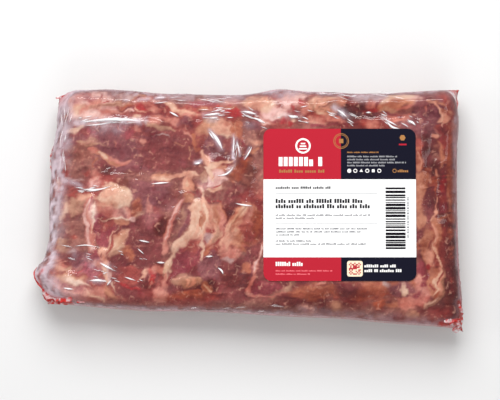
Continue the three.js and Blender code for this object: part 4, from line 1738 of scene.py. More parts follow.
@dataclass
class Loin:
    """The meat: a closed body just inside the film, painted with its tissues.

    Args:
        form: The pack's outer form.
        grid: Its grid.
    """

    form: PackForm
    grid: FineGrid
    film_gap: float = 0.6
    gap_start: float = 0.6
    edge_inset: float = 1.2
    corner: float = 20.0
    base_lift: float = 0.7
    base_rise: float = 0.5
    base_roughness: float = 0.14
    lump_height: float = 0.4
    fine_height: float = 0.07
    coarse_height: float = 0.16
    smooth_end: float = 145.0
    smooth_blend: float = 20.0
    smoothed: float = 0.6
    ragged: float = 1.1
    light: float = 0.48
    fine_light: float = 0.11
    coarse_light: float = 0.07
    cloud_light: float = 0.13
    mottle_light: float = 0.06
    # Painted shade: how much lighter each mark is in its middle than at its edges.
    painted_rounding_shade: float = 0.1
    fine_break: float = 0.13
    coarse_break: float = 0.156
    cloud_break: float = 0.13
    drift_size: float = 34
    drift_contrast: float = 0.3
    centre_depth: float = 0.6
    thread_share: float = 0.16
    thread_mottle: float = 0.4
    threads: Span = (1.6, 1.2)
    blood_share: float = 0.4
    blood_size: float = 5
    drops: Span = (0.9, 0.9)
    wall_share: float = 0.6
    wall_height: float = 46
    wall_blend: float = 16
    cap_height: float = 15.0
    cap_raggedness: float = 3.0
    cap_blend: float = 6.0
    cap_fat: float = 0.8

    def __post_init__(self) -> None:
        """Draws the noises and fibres that roughen and colour the meat."""
        self.sways = Noise(3), Noise(5)
        self.lumps = Noise(7)
        self.clouds = Noise(11)
        self.fibres = Fibres(MARKS)
        self.fine = self.fibres.streaks(43, 2.2, 7)
        self.coarse = self.fibres.streaks(47, 4.6, 14)

    def smoothness(self, x: Array) -> Array:
        """How near places lie to the smooth right end, from 0 to 1 on it."""
        return smooth_step((x - self.smooth_end) / self.smooth_blend)

    def fine_relief(self, x: Array, y: Array) -> Array:
        """Works out the lumps and fibres that are too small for the pack's form.

        Args:
            x: Places along the loin.
            y: Places across it.

        Returns:
            The heights that they add.
        """
        lumps = self.lump_height * self.lumps.layered(self.fibres.flat(x, y), 16, 3)
        fine = self.fine_height * self.fibres.read(self.fine, x, y)
        coarse = self.coarse_height * self.fibres.read(self.coarse, x, y)
        return (1 - self.smoothed * self.smoothness(x)) * (lumps + fine + coarse)

    def painted(self, points: Array) -> dict[str, Array]:
        """Lays the tissues over the meat, each one darkened towards its edges as painted shade.

        Args:
            points: The meat's points.

        Returns:
            The colour, and how much of it is fat, of each point.
        """
        sway = [noise.layered(points, 9, 3) for noise in self.sways]
        x = points[..., 0] + self.ragged * sway[0]
        y = points[..., 1] + self.ragged * sway[1]
        fine = self.fibres.read(self.fine, x, y)
        coarse = self.fibres.read(self.coarse, x, y)
        cloud = self.clouds.layered(points, 12, 4)
        mottle = self.lumps.layered(points, 2.6, 2)
        light = self.light + self.fine_light * fine + self.coarse_light * coarse
        light = light + self.cloud_light * cloud + self.mottle_light * mottle
        spread = self.fine_break * fine + self.coarse_break * coarse + self.cloud_break * cloud
        drift = 0.5 + self.drift_contrast * self.clouds.layered(points + 40, self.drift_size, 2)
        level = clamp01(light)
        colour = blended(RED.colour(level), BROWN.colour(level), smooth_step(drift))
        fat = np.full(light.shape, BROWN.fat)
        for mark in MARKS:
            depth = mark.depth(x, y)[0]
            share = smooth_step(depth + spread)
            # Painted shade: each mark is darker towards its edges and lighter in its middle, as if
            # rounded.
            inside = clamp01(depth) - self.centre_depth
            level = clamp01(light + self.painted_rounding_shade * inside)
            colour = blended(colour, mark.tissue.colour(level), share)
            fat = fat + (mark.tissue.fat - fat) * share
        lean = 1 - fat
        start, blend = self.threads
        threads = smooth_step((fine + self.thread_mottle * mottle - start) / blend)
        colour = blended(colour, TAN.colour(level), self.thread_share * threads * lean)
        start, blend = self.drops
        drops = self.lumps.layered(points + 9, self.blood_size, 3)
        blood = self.blood_share * smooth_step((drops - start) / blend) * lean
        colour = blended(colour, WINE.colour(level), blood)
        tone = 1 + sum(tone.over(x, y) for tone in TONES)
        colour = clamp01(colour) ** tone[..., None]
        wall = self.wall_share * fading(points[..., 2], self.wall_height, self.wall_blend)
        colour = blended(colour, MAROON.colour(level), wall)
        cap_edge = self.cap_height + self.cap_raggedness * sway[0]
        cap = fading(points[..., 2], cap_edge, self.cap_blend)
        colour = blended(colour, TAN.colour(light), cap)
        return {"tissue": colour, "fat": clamp01(fat + (self.cap_fat - fat) * cap)}

    def build(self) -> bpy.types.Object:
        """Makes the meat's mesh and dresses it.

        Returns:
            The piece.
        """
        form = self.form
        s, t = rounded_shares(form, *self.grid.shares(), self.edge_inset, self.corner)
        top = form.upper(s, t, self.fine_relief)
        inside = self.film_gap * smooth_step(top[..., 2:] / form.seam_height - self.gap_start)
        top = top - grid_normals(top) * inside
        s, t = self.grid.below(s), self.grid.below(t)
        bottom = form.lower(s, t)
        bottom[..., 2] = np.maximum(bottom[..., 2], self.base_lift)
        rough = self.base_roughness * self.lumps.layered(bottom, 12, 3)
        rough = rough * smooth_step(form.to_seam(s, t) / 8)
        bottom = bottom - grid_normals(bottom) * (rough - self.base_rise)[..., None]
        bottom[..., 2] = np.maximum(bottom[..., 2], self.base_lift)
        above, below = self.painted(top), self.painted(bottom)
        channels = {name: (above[name], below[name]) for name in above}
        piece = closed_mesh("loin_meat", self.grid, top, bottom, channels)
        piece.data.materials.append(MeatFinish().material())
        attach(piece, BODY)
        return piece


@dataclass(frozen=True)
class Fold:
    """A small pleat of film, pointed at both ends, its back white with milk and a painted highlight.
    """

    path: tuple[Point, ...]
    half_width: float = 1.0
    milk: float = 0.7


@dataclass(frozen=True)
class Scratches:
    """A group of short thin pleats that lie side by side."""

    centre: Point
    half_length: float
    half_width: float
    turn: float
    count: int
    length: float = 7.0
    milk: float = 0.5
    askew: float = 0.14
    bow: float = 0.06
    lengths: Span = (0.5, 1.4)
    widths: Span = (0.3, 0.7)
    milks: Span = (0.5, 1.3)

    def folds(self, seed: int) -> list[Fold]:
        """Draws the group's pleats, each a little askew.

        Args:
            seed: Which places and lengths they get.

        Returns:
            The pleats.
        """
        draw = np.random.default_rng(seed)
        made = []
        for _ in range(self.count):
            along = self.half_length * draw.uniform(-1, 1)
            across = self.half_width * draw.uniform(-1, 1)
            angle = math.radians(self.turn)
            x = self.centre[0] + along * math.cos(angle) - across * math.sin(angle)
            y = self.centre[1] + along * math.sin(angle) + across * math.cos(angle)
            angle += draw.normal(0, self.askew)
            half = self.length / 2 * draw.uniform(*self.lengths)
            reach = (half * math.cos(angle), half * math.sin(angle))
            bow = draw.normal(0, self.bow) * half
            path = (
                (x - reach[0], y - reach[1]),
                (x - bow * math.sin(angle), y + bow * math.cos(angle)),
                (x + reach[0], y + reach[1]),
            )
            width = draw.uniform(*self.widths)
            made.append(Fold(path, width, self.milk * draw.uniform(*self.milks)))
        return made


@dataclass(frozen=True)
class Crumple:
    """A crumpled strip of film on the seam, red with juice, along points with their heights."""

    path: tuple[tuple[float, float, float], ...]
    half_width: float
    pleat: float = 4.0
    wave: float = 1.2
    milk: float = 0.85
    juice: float = 0.9


@dataclass(frozen=True)
class Veil:
    """A strip of haze and juice on the film; the strips along its glints are painted highlights."""

    path: tuple[Point, ...]
    half_width: float
    haze: float
    juice: float = 0.0

    def over(self, x: Array, y: Array) -> Array:
        """The strip's share at each place, 1 along its middle."""
        return bell(path_distance(x, y, self.path)[0], self.half_width)


# Pleats laid where the film glints; the white along their backs is partly a painted highlight.
GLINT_FOLDS = (
    Fold(((-166, 84), (-158, 86), (-148, 87.5), (-135, 88), (-118, 87.5), (-103, 86)), 1.5, 0.95),
    Fold(((-163, 82), (-150, 83), (-134, 85)), 0.8),
    Fold(((-168, 19.5), (-154, 18.5), (-143, 19.5), (-134, 23)), 0.9, 0.8),
    Fold(((-161, 17), (-146, 18)), 0.7),
    Fold(((-97, 24), (-87, 25), (-78, 25.5)), 0.9, 0.85),
    Fold(((-79, 96), (-69, 90.5)), 1.0, 0.9),
    Fold(((-45, 92), (-36, 93), (-27, 94)), 1.1, 0.9),
    Fold(((-40, 89), (-30, 90)), 0.8),
    Fold(((-36, 96), (-25, 98)), 0.7),
    Fold(((-39, 78), (-35, 73), (-30, 66), (-26, 58)), 2.0, 1.0),
    Fold(((-40, 76), (-34, 68)), 0.9, 0.9),
    Fold(((-15, 74), (-15, 64), (-16, 51)), 0.9, 0.85),
    Fold(((-12, 67), (-9, 53)), 0.8, 0.8),
    Fold(((-15, 41), (-19, 36), (-24, 33), (-32, 32)), 1.0, 0.85),
    Fold(((-5, 47), (0, 55), (3, 61)), 0.9, 0.8),
    Fold(((-54, 44), (-47, 45)), 1.2, 0.8),
    Fold(((-172, -37), (-160, -36), (-149, -38)), 0.7),
    Fold(((-147, -53), (-140, -57), (-132, -61)), 1.3, 0.95),
    Fold(((-157, -71), (-148, -70.5), (-139, -72)), 1.4, 1.0),
    Fold(((-140, -76), (-135, -70)), 0.9),
    Fold(((-183, -78), (-172, -79.5)), 0.9, 0.8),
    Fold(((-109, -31), (-97, -33.5)), 0.9, 0.8),
    Fold(((-110, -39), (-103, -45)), 0.7),
    Fold(((-91, -53), (-82, -53.5)), 1.0, 0.85),
    Fold(((-31, -58), (-27, -61), (-25, -65)), 1.0, 0.9),
    Fold(((-14, 5), (-5, 3), (4, 2)), 0.9, 0.9),
    Fold(((-43, -47.5), (-35, -47)), 1.0, 0.7),
    Fold(((-7, 96), (0, 95), (8, 93)), 1.3, 0.85),
    Fold(((1, 90), (9, 88), (17, 84)), 1.0, 0.8),
    Fold(((38, 92), (43, 90.5), (49, 91)), 1.6, 0.9),
    Fold(((86, 98), (91, 95), (97, 90)), 1.3, 0.8),
    Fold(((135, 87), (141, 80.5), (149, 78.5)), 1.2, 0.9),
    Fold(((133, 89), (140, 85), (147, 81)), 0.8),
    Fold(((156, 87), (161, 85), (164.5, 81.5)), 1.3, 0.95),
    Fold(((115, 95), (121, 95)), 0.9),
    Fold(((-123, -67), (-111, -71)), 0.8),
)
# Clusters of fine pleats where the film glints; their white is partly a painted highlight.
SCRATCHES = (
    Scratches((-140, 86), 26, 2.6, 2, 16, 12),
    Scratches((-158, 88), 12, 3, 8, 8, 7),
    Scratches((-152, 20), 16, 3, 4, 10, 7),
    Scratches((-140, -66), 12, 7, -14, 9, 6),
    Scratches((-170, -45), 14, 8, -10, 8, 7, 0.35),
    Scratches((-120, -55), 20, 14, -14, 8, 6, 0.4),
    Scratches((-30, 94), 16, 6, 4, 12, 8),
    Scratches((-13, 60), 10, 4, 84, 7, 8),
    Scratches((4, 90), 14, 8, -20, 12, 8),
    Scratches((44, 94), 16, 8, -8, 10, 7),
    Scratches((92, 92), 14, 7, -28, 12, 8),
    Scratches((142, 84), 16, 7, -26, 14, 9),
    Scratches((160, 86), 6, 4, -40, 5, 6),
    Scratches((110, 112), 40, 3, 0, 12, 14, 0.35),
    Scratches((-60, 108), 40, 3, 0, 10, 14, 0.35),
    Scratches((-182, 62), 34, 5, 86, 14, 14, 0.35),
    Scratches((-30, -98), 60, 3, 0, 8, 12, 0.2),
)
CRUMPLES = (
    Crumple(
        ((-211, -57, 30), (-214, -63, 28), (-211, -70, 27), (-206, -77, 26), (-202, -82, 26)),
        1.2, 9, 0.4, 0.8,
    ),
    Crumple(
        ((-204, -78, 25), (-200, -84, 25), (-193, -87, 26), (-184, -88.5, 26), (-174, -89, 25)),
        3.4, 9, 0.6,
    ),
    Crumple(((-206, -84, 24), (-199, -90, 24), (-190, -92, 24), (-180, -94, 24)), 2.6, 7, 0.8),
    Crumple(((-203, -88, 25), (-197, -91, 26), (-190, -94, 25)), 1.6, 5, 0.8, 0.9, 0.5),
    Crumple(((-170, -91.5, 27), (-162, -92, 27)), 1.2, 7, 0.4, 0.7),
    Crumple(
        ((-194, 64, 32), (-197, 55, 29), (-198, 47, 28), (-197, 36, 29)), 0.8, 9, 0.3, 0.6, 0.7
    ),
    Crumple(((-194, 113, 27), (-189, 113, 27), (-184, 114, 27)), 0.9, 7, 0.4, 0.7),
    Crumple(((207, 112, 34), (208, 106, 33), (207, 100, 33)), 0.9, 9, 0.3, 0.6),
    Crumple(
        ((207, -94, 34), (210, -103, 32), (212, -110, 29), (210, -115, 27)), 1.7, 9, 0.5, 0.8, 0.7
    ),
    Crumple(((192, -111, 30), (200, -110, 31), (209, -109, 30)), 2, 7, 0.6),
    Crumple(((198, -109, 28), (203, -115, 27), (208, -122, 25)), 3, 7, 0.7),
    Crumple(((205, -110, 28), (208, -115, 27), (210, -120, 25)), 2, 5, 0.7, 0.9, 0.6),
)
# Milky bands on the walls and seam, red juice, and painted highlights: white strips where the film
# glints.
VEILS_AND_GLINTS = (
    Veil(((-181, 110), (-181, 88), (-184, 60), (-188, 38)), 7.5, 0.47),
    Veil(((-191, 20), (-192, 0), (-193, -20), (-197, -44)), 5.5, 0.75),
    Veil(((-197, -52), (-201, -63), (-196, -76)), 9, 0.5),
    Veil(((-209, -68), (-202, -81), (-188, -86)), 6, 0.4),
    Veil(((-204, -84), (-197, -89), (-188, -90), (-176, -92)), 3, 0.6, 1.2),
    Veil(((-203, -60), (-208, -66), (-205, -76)), 1.6, 0.3, 0.8),
    Veil(((206, -92), (209, -104), (206, -112)), 3, 0.3, 1.0),
    Veil(((190, -113), (200, -112), (208, -110)), 3, 0.4, 1.2),
    Veil(((-195, 34), (-182, 28), (-166, 22)), 3, 0.4),
    Veil(((-196, 22), (-186, 19)), 4, 0.3),
    Veil(((-170, 84), (-156, 86), (-138, 87), (-103, 86)), 3.4, 0.5),
    Veil(((-138, 114), (-110, 114), (-90, 113)), 3, 0.25),
    Veil(((-124, 107), (-104, 108), (-85, 110)), 1.4, 0.4),
    Veil(((-88, 113), (-60, 110), (-30, 108), (-5, 112)), 4.4, 0.26),
    Veil(((-45, 92), (-36, 93), (-26, 95)), 3, 0.3),
    Veil(((-39, 77), (-33, 70), (-27, 58)), 2.4, 0.45),
    Veil(((-152, 79), (-138, 80), (-126, 79)), 5, 0.26),
    Veil(((-15, 73), (-15.5, 62), (-16, 50)), 1.6, 0.4),
    Veil(((-13, 70), (-10, 60), (-9, 52)), 1.4, 0.35),
    Veil(((-15, 49), (-17, 40), (-22, 35), (-32, 33)), 2, 0.45),
    Veil(((-4, 50), (1, 60)), 1.4, 0.4),
    Veil(((-53, 45), (-46, 47)), 1.8, 0.5),
    Veil(((-172, -44), (-158, -51)), 6, 0.14),
    Veil(((-155, -57), (-148, -52), (-138, -57)), 3, 0.2),
    Veil(((-157, -71), (-138, -72)), 3, 0.25),
    Veil(((-6, 96), (6, 93)), 2.6, 0.3),
    Veil(((0, 83), (17, 81)), 4, 0.2),
    Veil(((38, 91), (48, 90)), 3.6, 0.5),
    Veil(((84, 100), (91, 95), (97, 90)), 3.6, 0.45),
    Veil(((134, 87), (141, 81), (149, 79)), 3, 0.4),
    Veil(((157, 87), (163, 82)), 3, 0.35),
    Veil(((18, 117), (36, 112), (50, 117), (90, 116)), 5, 0.35),
    Veil(((104, 112), (118, 110), (132, 111)), 5, 0.3),
    Veil(((140, 116), (165, 117), (186, 116)), 2.4, 0.25),
    Veil(((50, -98), (80, -103), (140, -106), (190, -111)), 3, 0.2, 0.3),
    Veil(((204, 90), (204, 20), (206, -50), (209, -96)), 2.2, 0.4, 0.3),
    Veil(((-160, -97), (-118, -98), (-60, -101), (0, -103), (40, -103)), 3, 0.3),
)


@dataclass(frozen=True)
class Milk:
    """How milky each part of the film is, as shares of white."""

    everywhere: float = 0.005
    bridges: float = 0.03
    left_wall: float = 0.26
    far_wall: float = 0.09
    # rim: a milky seam line, which also stands in as painted sheen for what the film's edge would
    # mirror.
    rim: float = 0.6
    end_folds: float = 0.12
    ears: float = 0.45
    below: float = 0.12


@dataclass(frozen=True)
class Juice:
    """How red with juice the film is at its ears, on its rim and below."""

    ears: float = 0.8
    rim: float = 0.4
    below: float = 0.2


@dataclass(frozen=True)
class Creases:
    """Small sharp folds of the film: how high they are, and one's size along each axis."""

    height: float
    size: tuple[float, float, float]


@dataclass
class ShrinkFilm:
    """The clear bag, drawn tight over the meat and bridging its hollows.

    Args:
        form: The pack's outer form.
        grid: Its grid.
        loin: The meat inside.
    """

    form: PackForm
    grid: FineGrid
    loin: Loin
    lift: float = 0.3
    base_lift: float = 0.12
    bridge_reach: int = 3
    seam_band: float = 0.12
    top_band: float = 0.25
    ear_reach: float = 11.0
    end_wall: Span = (44, 24)
    long_wall: Span = (24, 20)
    left_part: Span = (46, 20)
    far_start: float = 0.75
    rim_start: float = 0.55
    end_creases: Creases = Creases(1.3, (3.4, 26, 16))
    wall_creases: Creases = Creases(0.8, (34, 3.8, 4.6))
    top_creases: Creases = Creases(0.35, (24, 6, 9))
    crease_spacing: float = 30
    crease_rarity: float = 0.2
    streak_size: tuple[float, float, float] = (4, 9, 7)
    streak_contrast: float = 0.3
    milk: Milk = Milk()
    juice: Juice = Juice()

    def __post_init__(self) -> None:
        """Draws the noise that wrinkles the film."""
        self.wrinkles = Noise(23)

    def creased(self, points: Array, creases: Creases) -> Array:
        """Works out a kind of creases.

        Args:
            points: The film's points.
            creases: Their height and size.

        Returns:
            The height that they add to each point.
        """
        folded = np.abs(self.wrinkles.layered(points, creases.size, 2))
        return creases.height * clamp01(1 - folded) ** 3

    def build(self) -> bpy.types.Object:
        """Makes the film's mesh and dresses it.

        Returns:
            The piece.
        """
        form = self.form
        s, t = self.grid.shares()
        tight = form.upper(s, t, self.loin.fine_relief)
        beside_label = 1 - form.label_bed(tight[..., 0], tight[..., 1])
        near_seam = form.nearness(s, t, form.upper_rounding)
        off_seam = smooth_step((1 - near_seam) / self.seam_band)
        on_top = (1 - smooth_step(near_seam / self.top_band)) * beside_label
        level = blurred(tight[..., 2], self.bridge_reach)
        bridge = np.maximum(0, level - tight[..., 2]) * on_top
        from_left = s * form.length
        end_folds = self.creased(tight, self.end_creases) * near_seam
        end_folds = end_folds * fading(from_left, *self.end_wall)
        long_folds = self.creased(tight, self.wall_creases) * near_seam
        long_folds = long_folds * (1 - fading(from_left, *self.long_wall))
        rare = self.wrinkles.layered(tight + 90, self.crease_spacing, 2)
        rare = smooth_step(rare - self.crease_rarity) * beside_label
        rare = rare * (1 - self.loin.smoothness(tight[..., 0]))
        rise = (end_folds + long_folds + rare * self.creased(tight, self.top_creases)) * off_seam
        lift = (self.lift * beside_label * off_seam + rise)[..., None]
        top = tight + grid_normals(tight) * lift
        top[..., 2] += bridge
        bottom = form.lower(self.grid.below(s), self.grid.below(t))
        bottom[..., 2] = np.maximum(bottom[..., 2], self.base_lift)
        channels = self.channels(tight, s, t, bridge, end_folds)
        piece = closed_mesh("shrink_film", self.grid, top, bottom, channels)
        piece.data.materials.append(FilmFinish().material())
        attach(piece, BODY)
        return piece

    def channels(
        self, tight: Array, s: Array, t: Array, bridge: Array, end_folds: Array
    ) -> dict[str, tuple[Array, Array]]:
        """Works out the film's milk, its painted highlights and sheen, and where it is red with
        juice.

        Args:
            tight: The film's points as it lies tight on the meat.
            s: Their shares of the length.
            t: Their shares of the width.
            bridge: How high the film stands over hollows.
            end_folds: How high its folds on the left wall are.

        Returns:
            The haze, which holds the painted highlights, and the juice above and below.
        """
        form, below = self.form, self.grid.below
        x, y = tight[..., 0], tight[..., 1]
        # Veils: milky film, and painted highlights along the film's glints.
        strips = [veil.over(x, y) for veil in VEILS_AND_GLINTS]
        veils_and_glints = sum(veil.haze * strip for veil, strip in zip(VEILS_AND_GLINTS, strips))
        veils_and_glints = veils_and_glints * (1 - form.label_bed(x, y))
        juicy = sum(veil.juice * strip for veil, strip in zip(VEILS_AND_GLINTS, strips))
        ears = sum(bell(np.hypot(x - cx, y - cy), self.ear_reach) for cx, cy in form.ears())
        left = fading(s * form.length, *self.left_part)
        far = smooth_step((t - self.far_start) / (1 - self.far_start))
        near_seam = form.nearness(s, t, form.upper_rounding)
        rim = smooth_step((near_seam - self.rim_start) / (1 - self.rim_start))
        wall = near_seam * (self.milk.left_wall * left + self.milk.far_wall * far)
        streaks = self.streak_contrast * self.wrinkles.layered(tight, self.streak_size, 3)
        streaks = clamp01(1 - self.streak_contrast + streaks)
        # Haze: milky film, the painted highlights of the veils, and painted sheen along the rim.
        haze = self.milk.everywhere + self.milk.bridges * bridge
        haze = haze + (wall + veils_and_glints + self.milk.rim * rim) * streaks
        haze = clamp01(haze + self.milk.end_folds * end_folds + self.milk.ears * ears)
        juice = clamp01(self.juice.ears * ears + juicy + self.juice.rim * rim * (1 - left))
        return {
            "haze": (haze, np.full_like(below(haze), self.milk.below)),
            "juice": (juice, self.juice.below * below(juice)),
        }


def smooth_path(path: Sequence[Sequence[float]], step: float) -> Array:
    """A curve through a few points, as points about a step apart.

    Args:
        path: The points, with two or three numbers each.
        step: The distance between the new points.

    Returns:
        The curve's points.
    """
    knots = np.array(path, float)
    ends = np.concatenate([2 * knots[:1] - knots[1:2], knots, 2 * knots[-1:] - knots[-2:-1]])
    made = []
    for a, b, c, d in zip(ends, ends[1:], ends[2:], ends[3:]):
        pieces = max(2, math.ceil(np.linalg.norm(c - b) / step))
        u = (np.arange(pieces) / pieces)[:, None]
        bend = (2 * a - 5 * b + 4 * c - d) * u * u + (3 * b - a - 3 * c + d) * u**3
        made.append(0.5 * (2 * b + (c - a) * u + bend))
    return np.concatenate([*made, knots[-1:]])


def sideways(spine: Array) -> Array:
    """Finds the directions across a curve.

    Args:
        spine: The curve's points.

    Returns:
        Level unit vectors.
    """
    ahead = np.gradient(spine[:, :2], axis=0)
    across = np.stack([-ahead[:, 1], ahead[:, 0]], axis=-1)
    return across / np.maximum(np.linalg.norm(across, axis=-1, keepdims=True), TINY)


@dataclass
class FilmFolds:
    """The film's pleats and crumpled tips, as thin closed strips on its surface.

    Args:
        form: The pack's outer form.
        loin: The meat, whose relief the film follows.
    """

    form: PackForm
    loin: Loin
    slope: float = 0.4
    step: float = 1.0
    root: float = 0.5
    film_lift: float = 0.34
    thinnest: float = 0.03
    bluntness: float = 0.8
    across: tuple[float, ...] = (-1, -0.55, 0, 0.55, 1)
    end_width: float = 0.35
    unevenness: float = 0.3
    jostle: float = 0.8
    slant: float = 0.3
    cloudiness: float = 0.35
    cloud_share: float = 0.4
    juice_strength: float = 1.5
    # The pleats' white, which is partly a painted highlight, and the red of juice.
    haze: Colour = linear(252, 248, 250)
    juice: Colour = linear(206, 48, 44)

    def __post_init__(self) -> None:
        """Starts with no strips."""
        self.film = self.form.upper(*self.loin.grid.shares())
        self.noise = Noise(29)
        self.strips: list[tuple[Array, Array, Array, Array]] = []

    def spread(self, spine: Array, width: Array) -> tuple[Array, Array]:
        """Spreads a curve out sideways to a strip.

        Args:
            spine: The curve's points.
            width: Half of the strip's width at each.

        Returns:
            The strip's places along and across the loin.
        """
        offset = sideways(spine)[:, None] * (width[:, None] * np.array(self.across))[..., None]
        x, y = np.moveaxis(spine[:, None, :2] + offset, -1, 0)
        return x, y

    def pleat(self, fold: Fold) -> None:
        """Adds a pleat that stands up from the film's top.

        Args:
            fold: Its path, width and milkiness.
        """
        spine = smooth_path(fold.path, self.step)
        point = np.sin(math.pi * np.linspace(0, 1, len(spine))) ** self.bluntness
        width = fold.half_width * point + self.thinnest
        x, y = self.spread(spine, width)
        film = self.form.top_height(x, y, self.loin.fine_relief(x, y)) + self.film_lift
        back = (1 - np.abs(self.across))[None]
        high = np.stack([x, y, film + self.slope * width[:, None] * back], axis=-1)
        low = np.stack([x, y, film - self.root], axis=-1)
        # Painted highlight: the pleat is whitest along its back, where the film would glint.
        haze = fold.milk * point[:, None] * back**0.5
        self.strips.append((high, low, haze, 0 * haze))

    def film_height(self, places: Array) -> Array:
        """Finds the height of the film at or nearest to places along a curve.

        Args:
            places: The curve's points.

        Returns:
            The heights, evened out along it.
        """
        away = np.hypot(*(self.film[..., k].ravel() - places[:, k, None] for k in (0, 1)))
        heights = self.film[..., 2].ravel()[away.argmin(axis=1)]
        return np.convolve(np.pad(heights, 3, mode="edge"), np.full(7, 1 / 7), mode="valid")

    def crumple(self, strip: Crumple) -> None:
        """Adds a crumpled strip on the seam.

        Args:
            strip: Its path, sizes, milkiness and juice.
        """
        spine = smooth_path(strip.path, self.step)
        spine[:, 2] = np.maximum(spine[:, 2], self.film_height(spine) + self.root)
        shake = self.noise.layered(spine, 5, 2)
        arch = np.sin(math.pi * np.linspace(0, 1, len(spine))) ** 0.5
        width = strip.half_width * (self.end_width + (1 - self.end_width) * arch)
        x, y = self.spread(spine, width * (1 + self.unevenness * shake))
        turns = np.arange(len(spine)) * self.step / strip.pleat + self.jostle * shake
        turns = turns[:, None] + self.slant * np.array(self.across)
        z = spine[:, 2:] + strip.wave * (1 + np.sin(2 * math.pi * turns))
        high = np.stack([x, y, z + self.root / 2], axis=-1)
        low = np.stack([x, y, z - self.root / 2], axis=-1)
        cloud = clamp01(0.7 + self.cloudiness * self.noise.layered(high, 3, 2))
        haze = strip.milk * (1 - self.cloud_share + self.cloud_share * cloud)
        juice = clamp01(self.juice_strength * strip.juice * cloud)
        self.strips.append((high, low, haze, juice))

    def build(self) -> bpy.types.Object:
        """Makes one piece of all the strips and dresses it.

        Returns:
            The piece.
        """
        scratches = [fold for seed, group in enumerate(SCRATCHES) for fold in group.folds(seed)]
        for fold in (*GLINT_FOLDS, *scratches):
            self.pleat(fold)
        for strip in CRUMPLES:
            self.crumple(strip)
        piece = slab("film_folds", [strip[:2] for strip in self.strips])
        for channel, k in (("haze", 2), ("juice", 3)):
            values = [np.tile(strip[k].ravel(), 2) for strip in self.strips]
            write_channel(piece.data, channel, np.concatenate(values))
        piece.data.shade_smooth()
        finish = FilmFinish("film_pleats", self.haze, self.juice)
        piece.data.materials.append(finish.material())
        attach(piece, BODY)
        return piece


@dataclass(frozen=True)
class Sheet:
    """The label's own surface: a slightly wavy square above its bed."""

    centre: Point
    size: float
    base: float
    thickness: float
    wave: float = 0.1
    wave_sizes: tuple[float, float, float] = (17, 23, 11)
    phases: Span = (0.6, 1.1)
    slant_share: float = 0.6
    wave_level: float = 1.2
    settling: float = 12

    def height(self, x: Array, y: Array) -> Array:
        """Works out the height of the paper's upper face.

        Args:
            x: Places from the label's left edge.
            y: Places from its near edge.

        Returns:
            The heights.
        """
        long_wave, cross_wave, slant_wave = self.wave_sizes
        waves = np.sin(x / long_wave + self.phases[0]) * np.sin(y / cross_wave + self.phases[1])
        waves = waves + self.slant_share * np.sin((x + y) / slant_wave) + self.wave_level
        edge = np.minimum(np.minimum(x, self.size - x), np.minimum(y, self.size - y))
        settled = smooth_step(edge / self.settling)
        return self.base + self.thickness + self.wave * waves * settled

    def points(self, x: Array, y: Array, lift: float = 0.0) -> Array:
        """Finds points of the label in the pack's frame.

        Args:
            x: Places from the label's left edge.
            y: Places from its near edge.
            lift: How far above the paper they lie.

        Returns:
            The points.
        """
        low_x = self.centre[0] - self.size / 2
        low_y = self.centre[1] - self.size / 2
        return np.stack([low_x + x, low_y + y, self.height(x, y) + lift], axis=-1)


class Ink(Enum):
    """The print's colours, by name and colour as seen."""

    RED = ("ink_red", (173, 36, 51))
    NAVY = ("ink_navy", (22, 22, 36))
    WHITE = ("ink_white", (236, 234, 232))
    BLACK = ("ink_black", (22, 20, 26))
    GREY = ("ink_grey", (92, 92, 98))
    PALE = ("ink_pale_grey", (150, 150, 154))
    GOLD = ("ink_gold", (164, 116, 70))
    ROSE = ("ink_rose", (228, 112, 120))
    SAND = ("ink_sand", (238, 218, 190))

    def finish(self) -> PlainFinish:
        """The ink's finish."""
        name, seen = self.value
        return PlainFinish(name, linear(*seen))


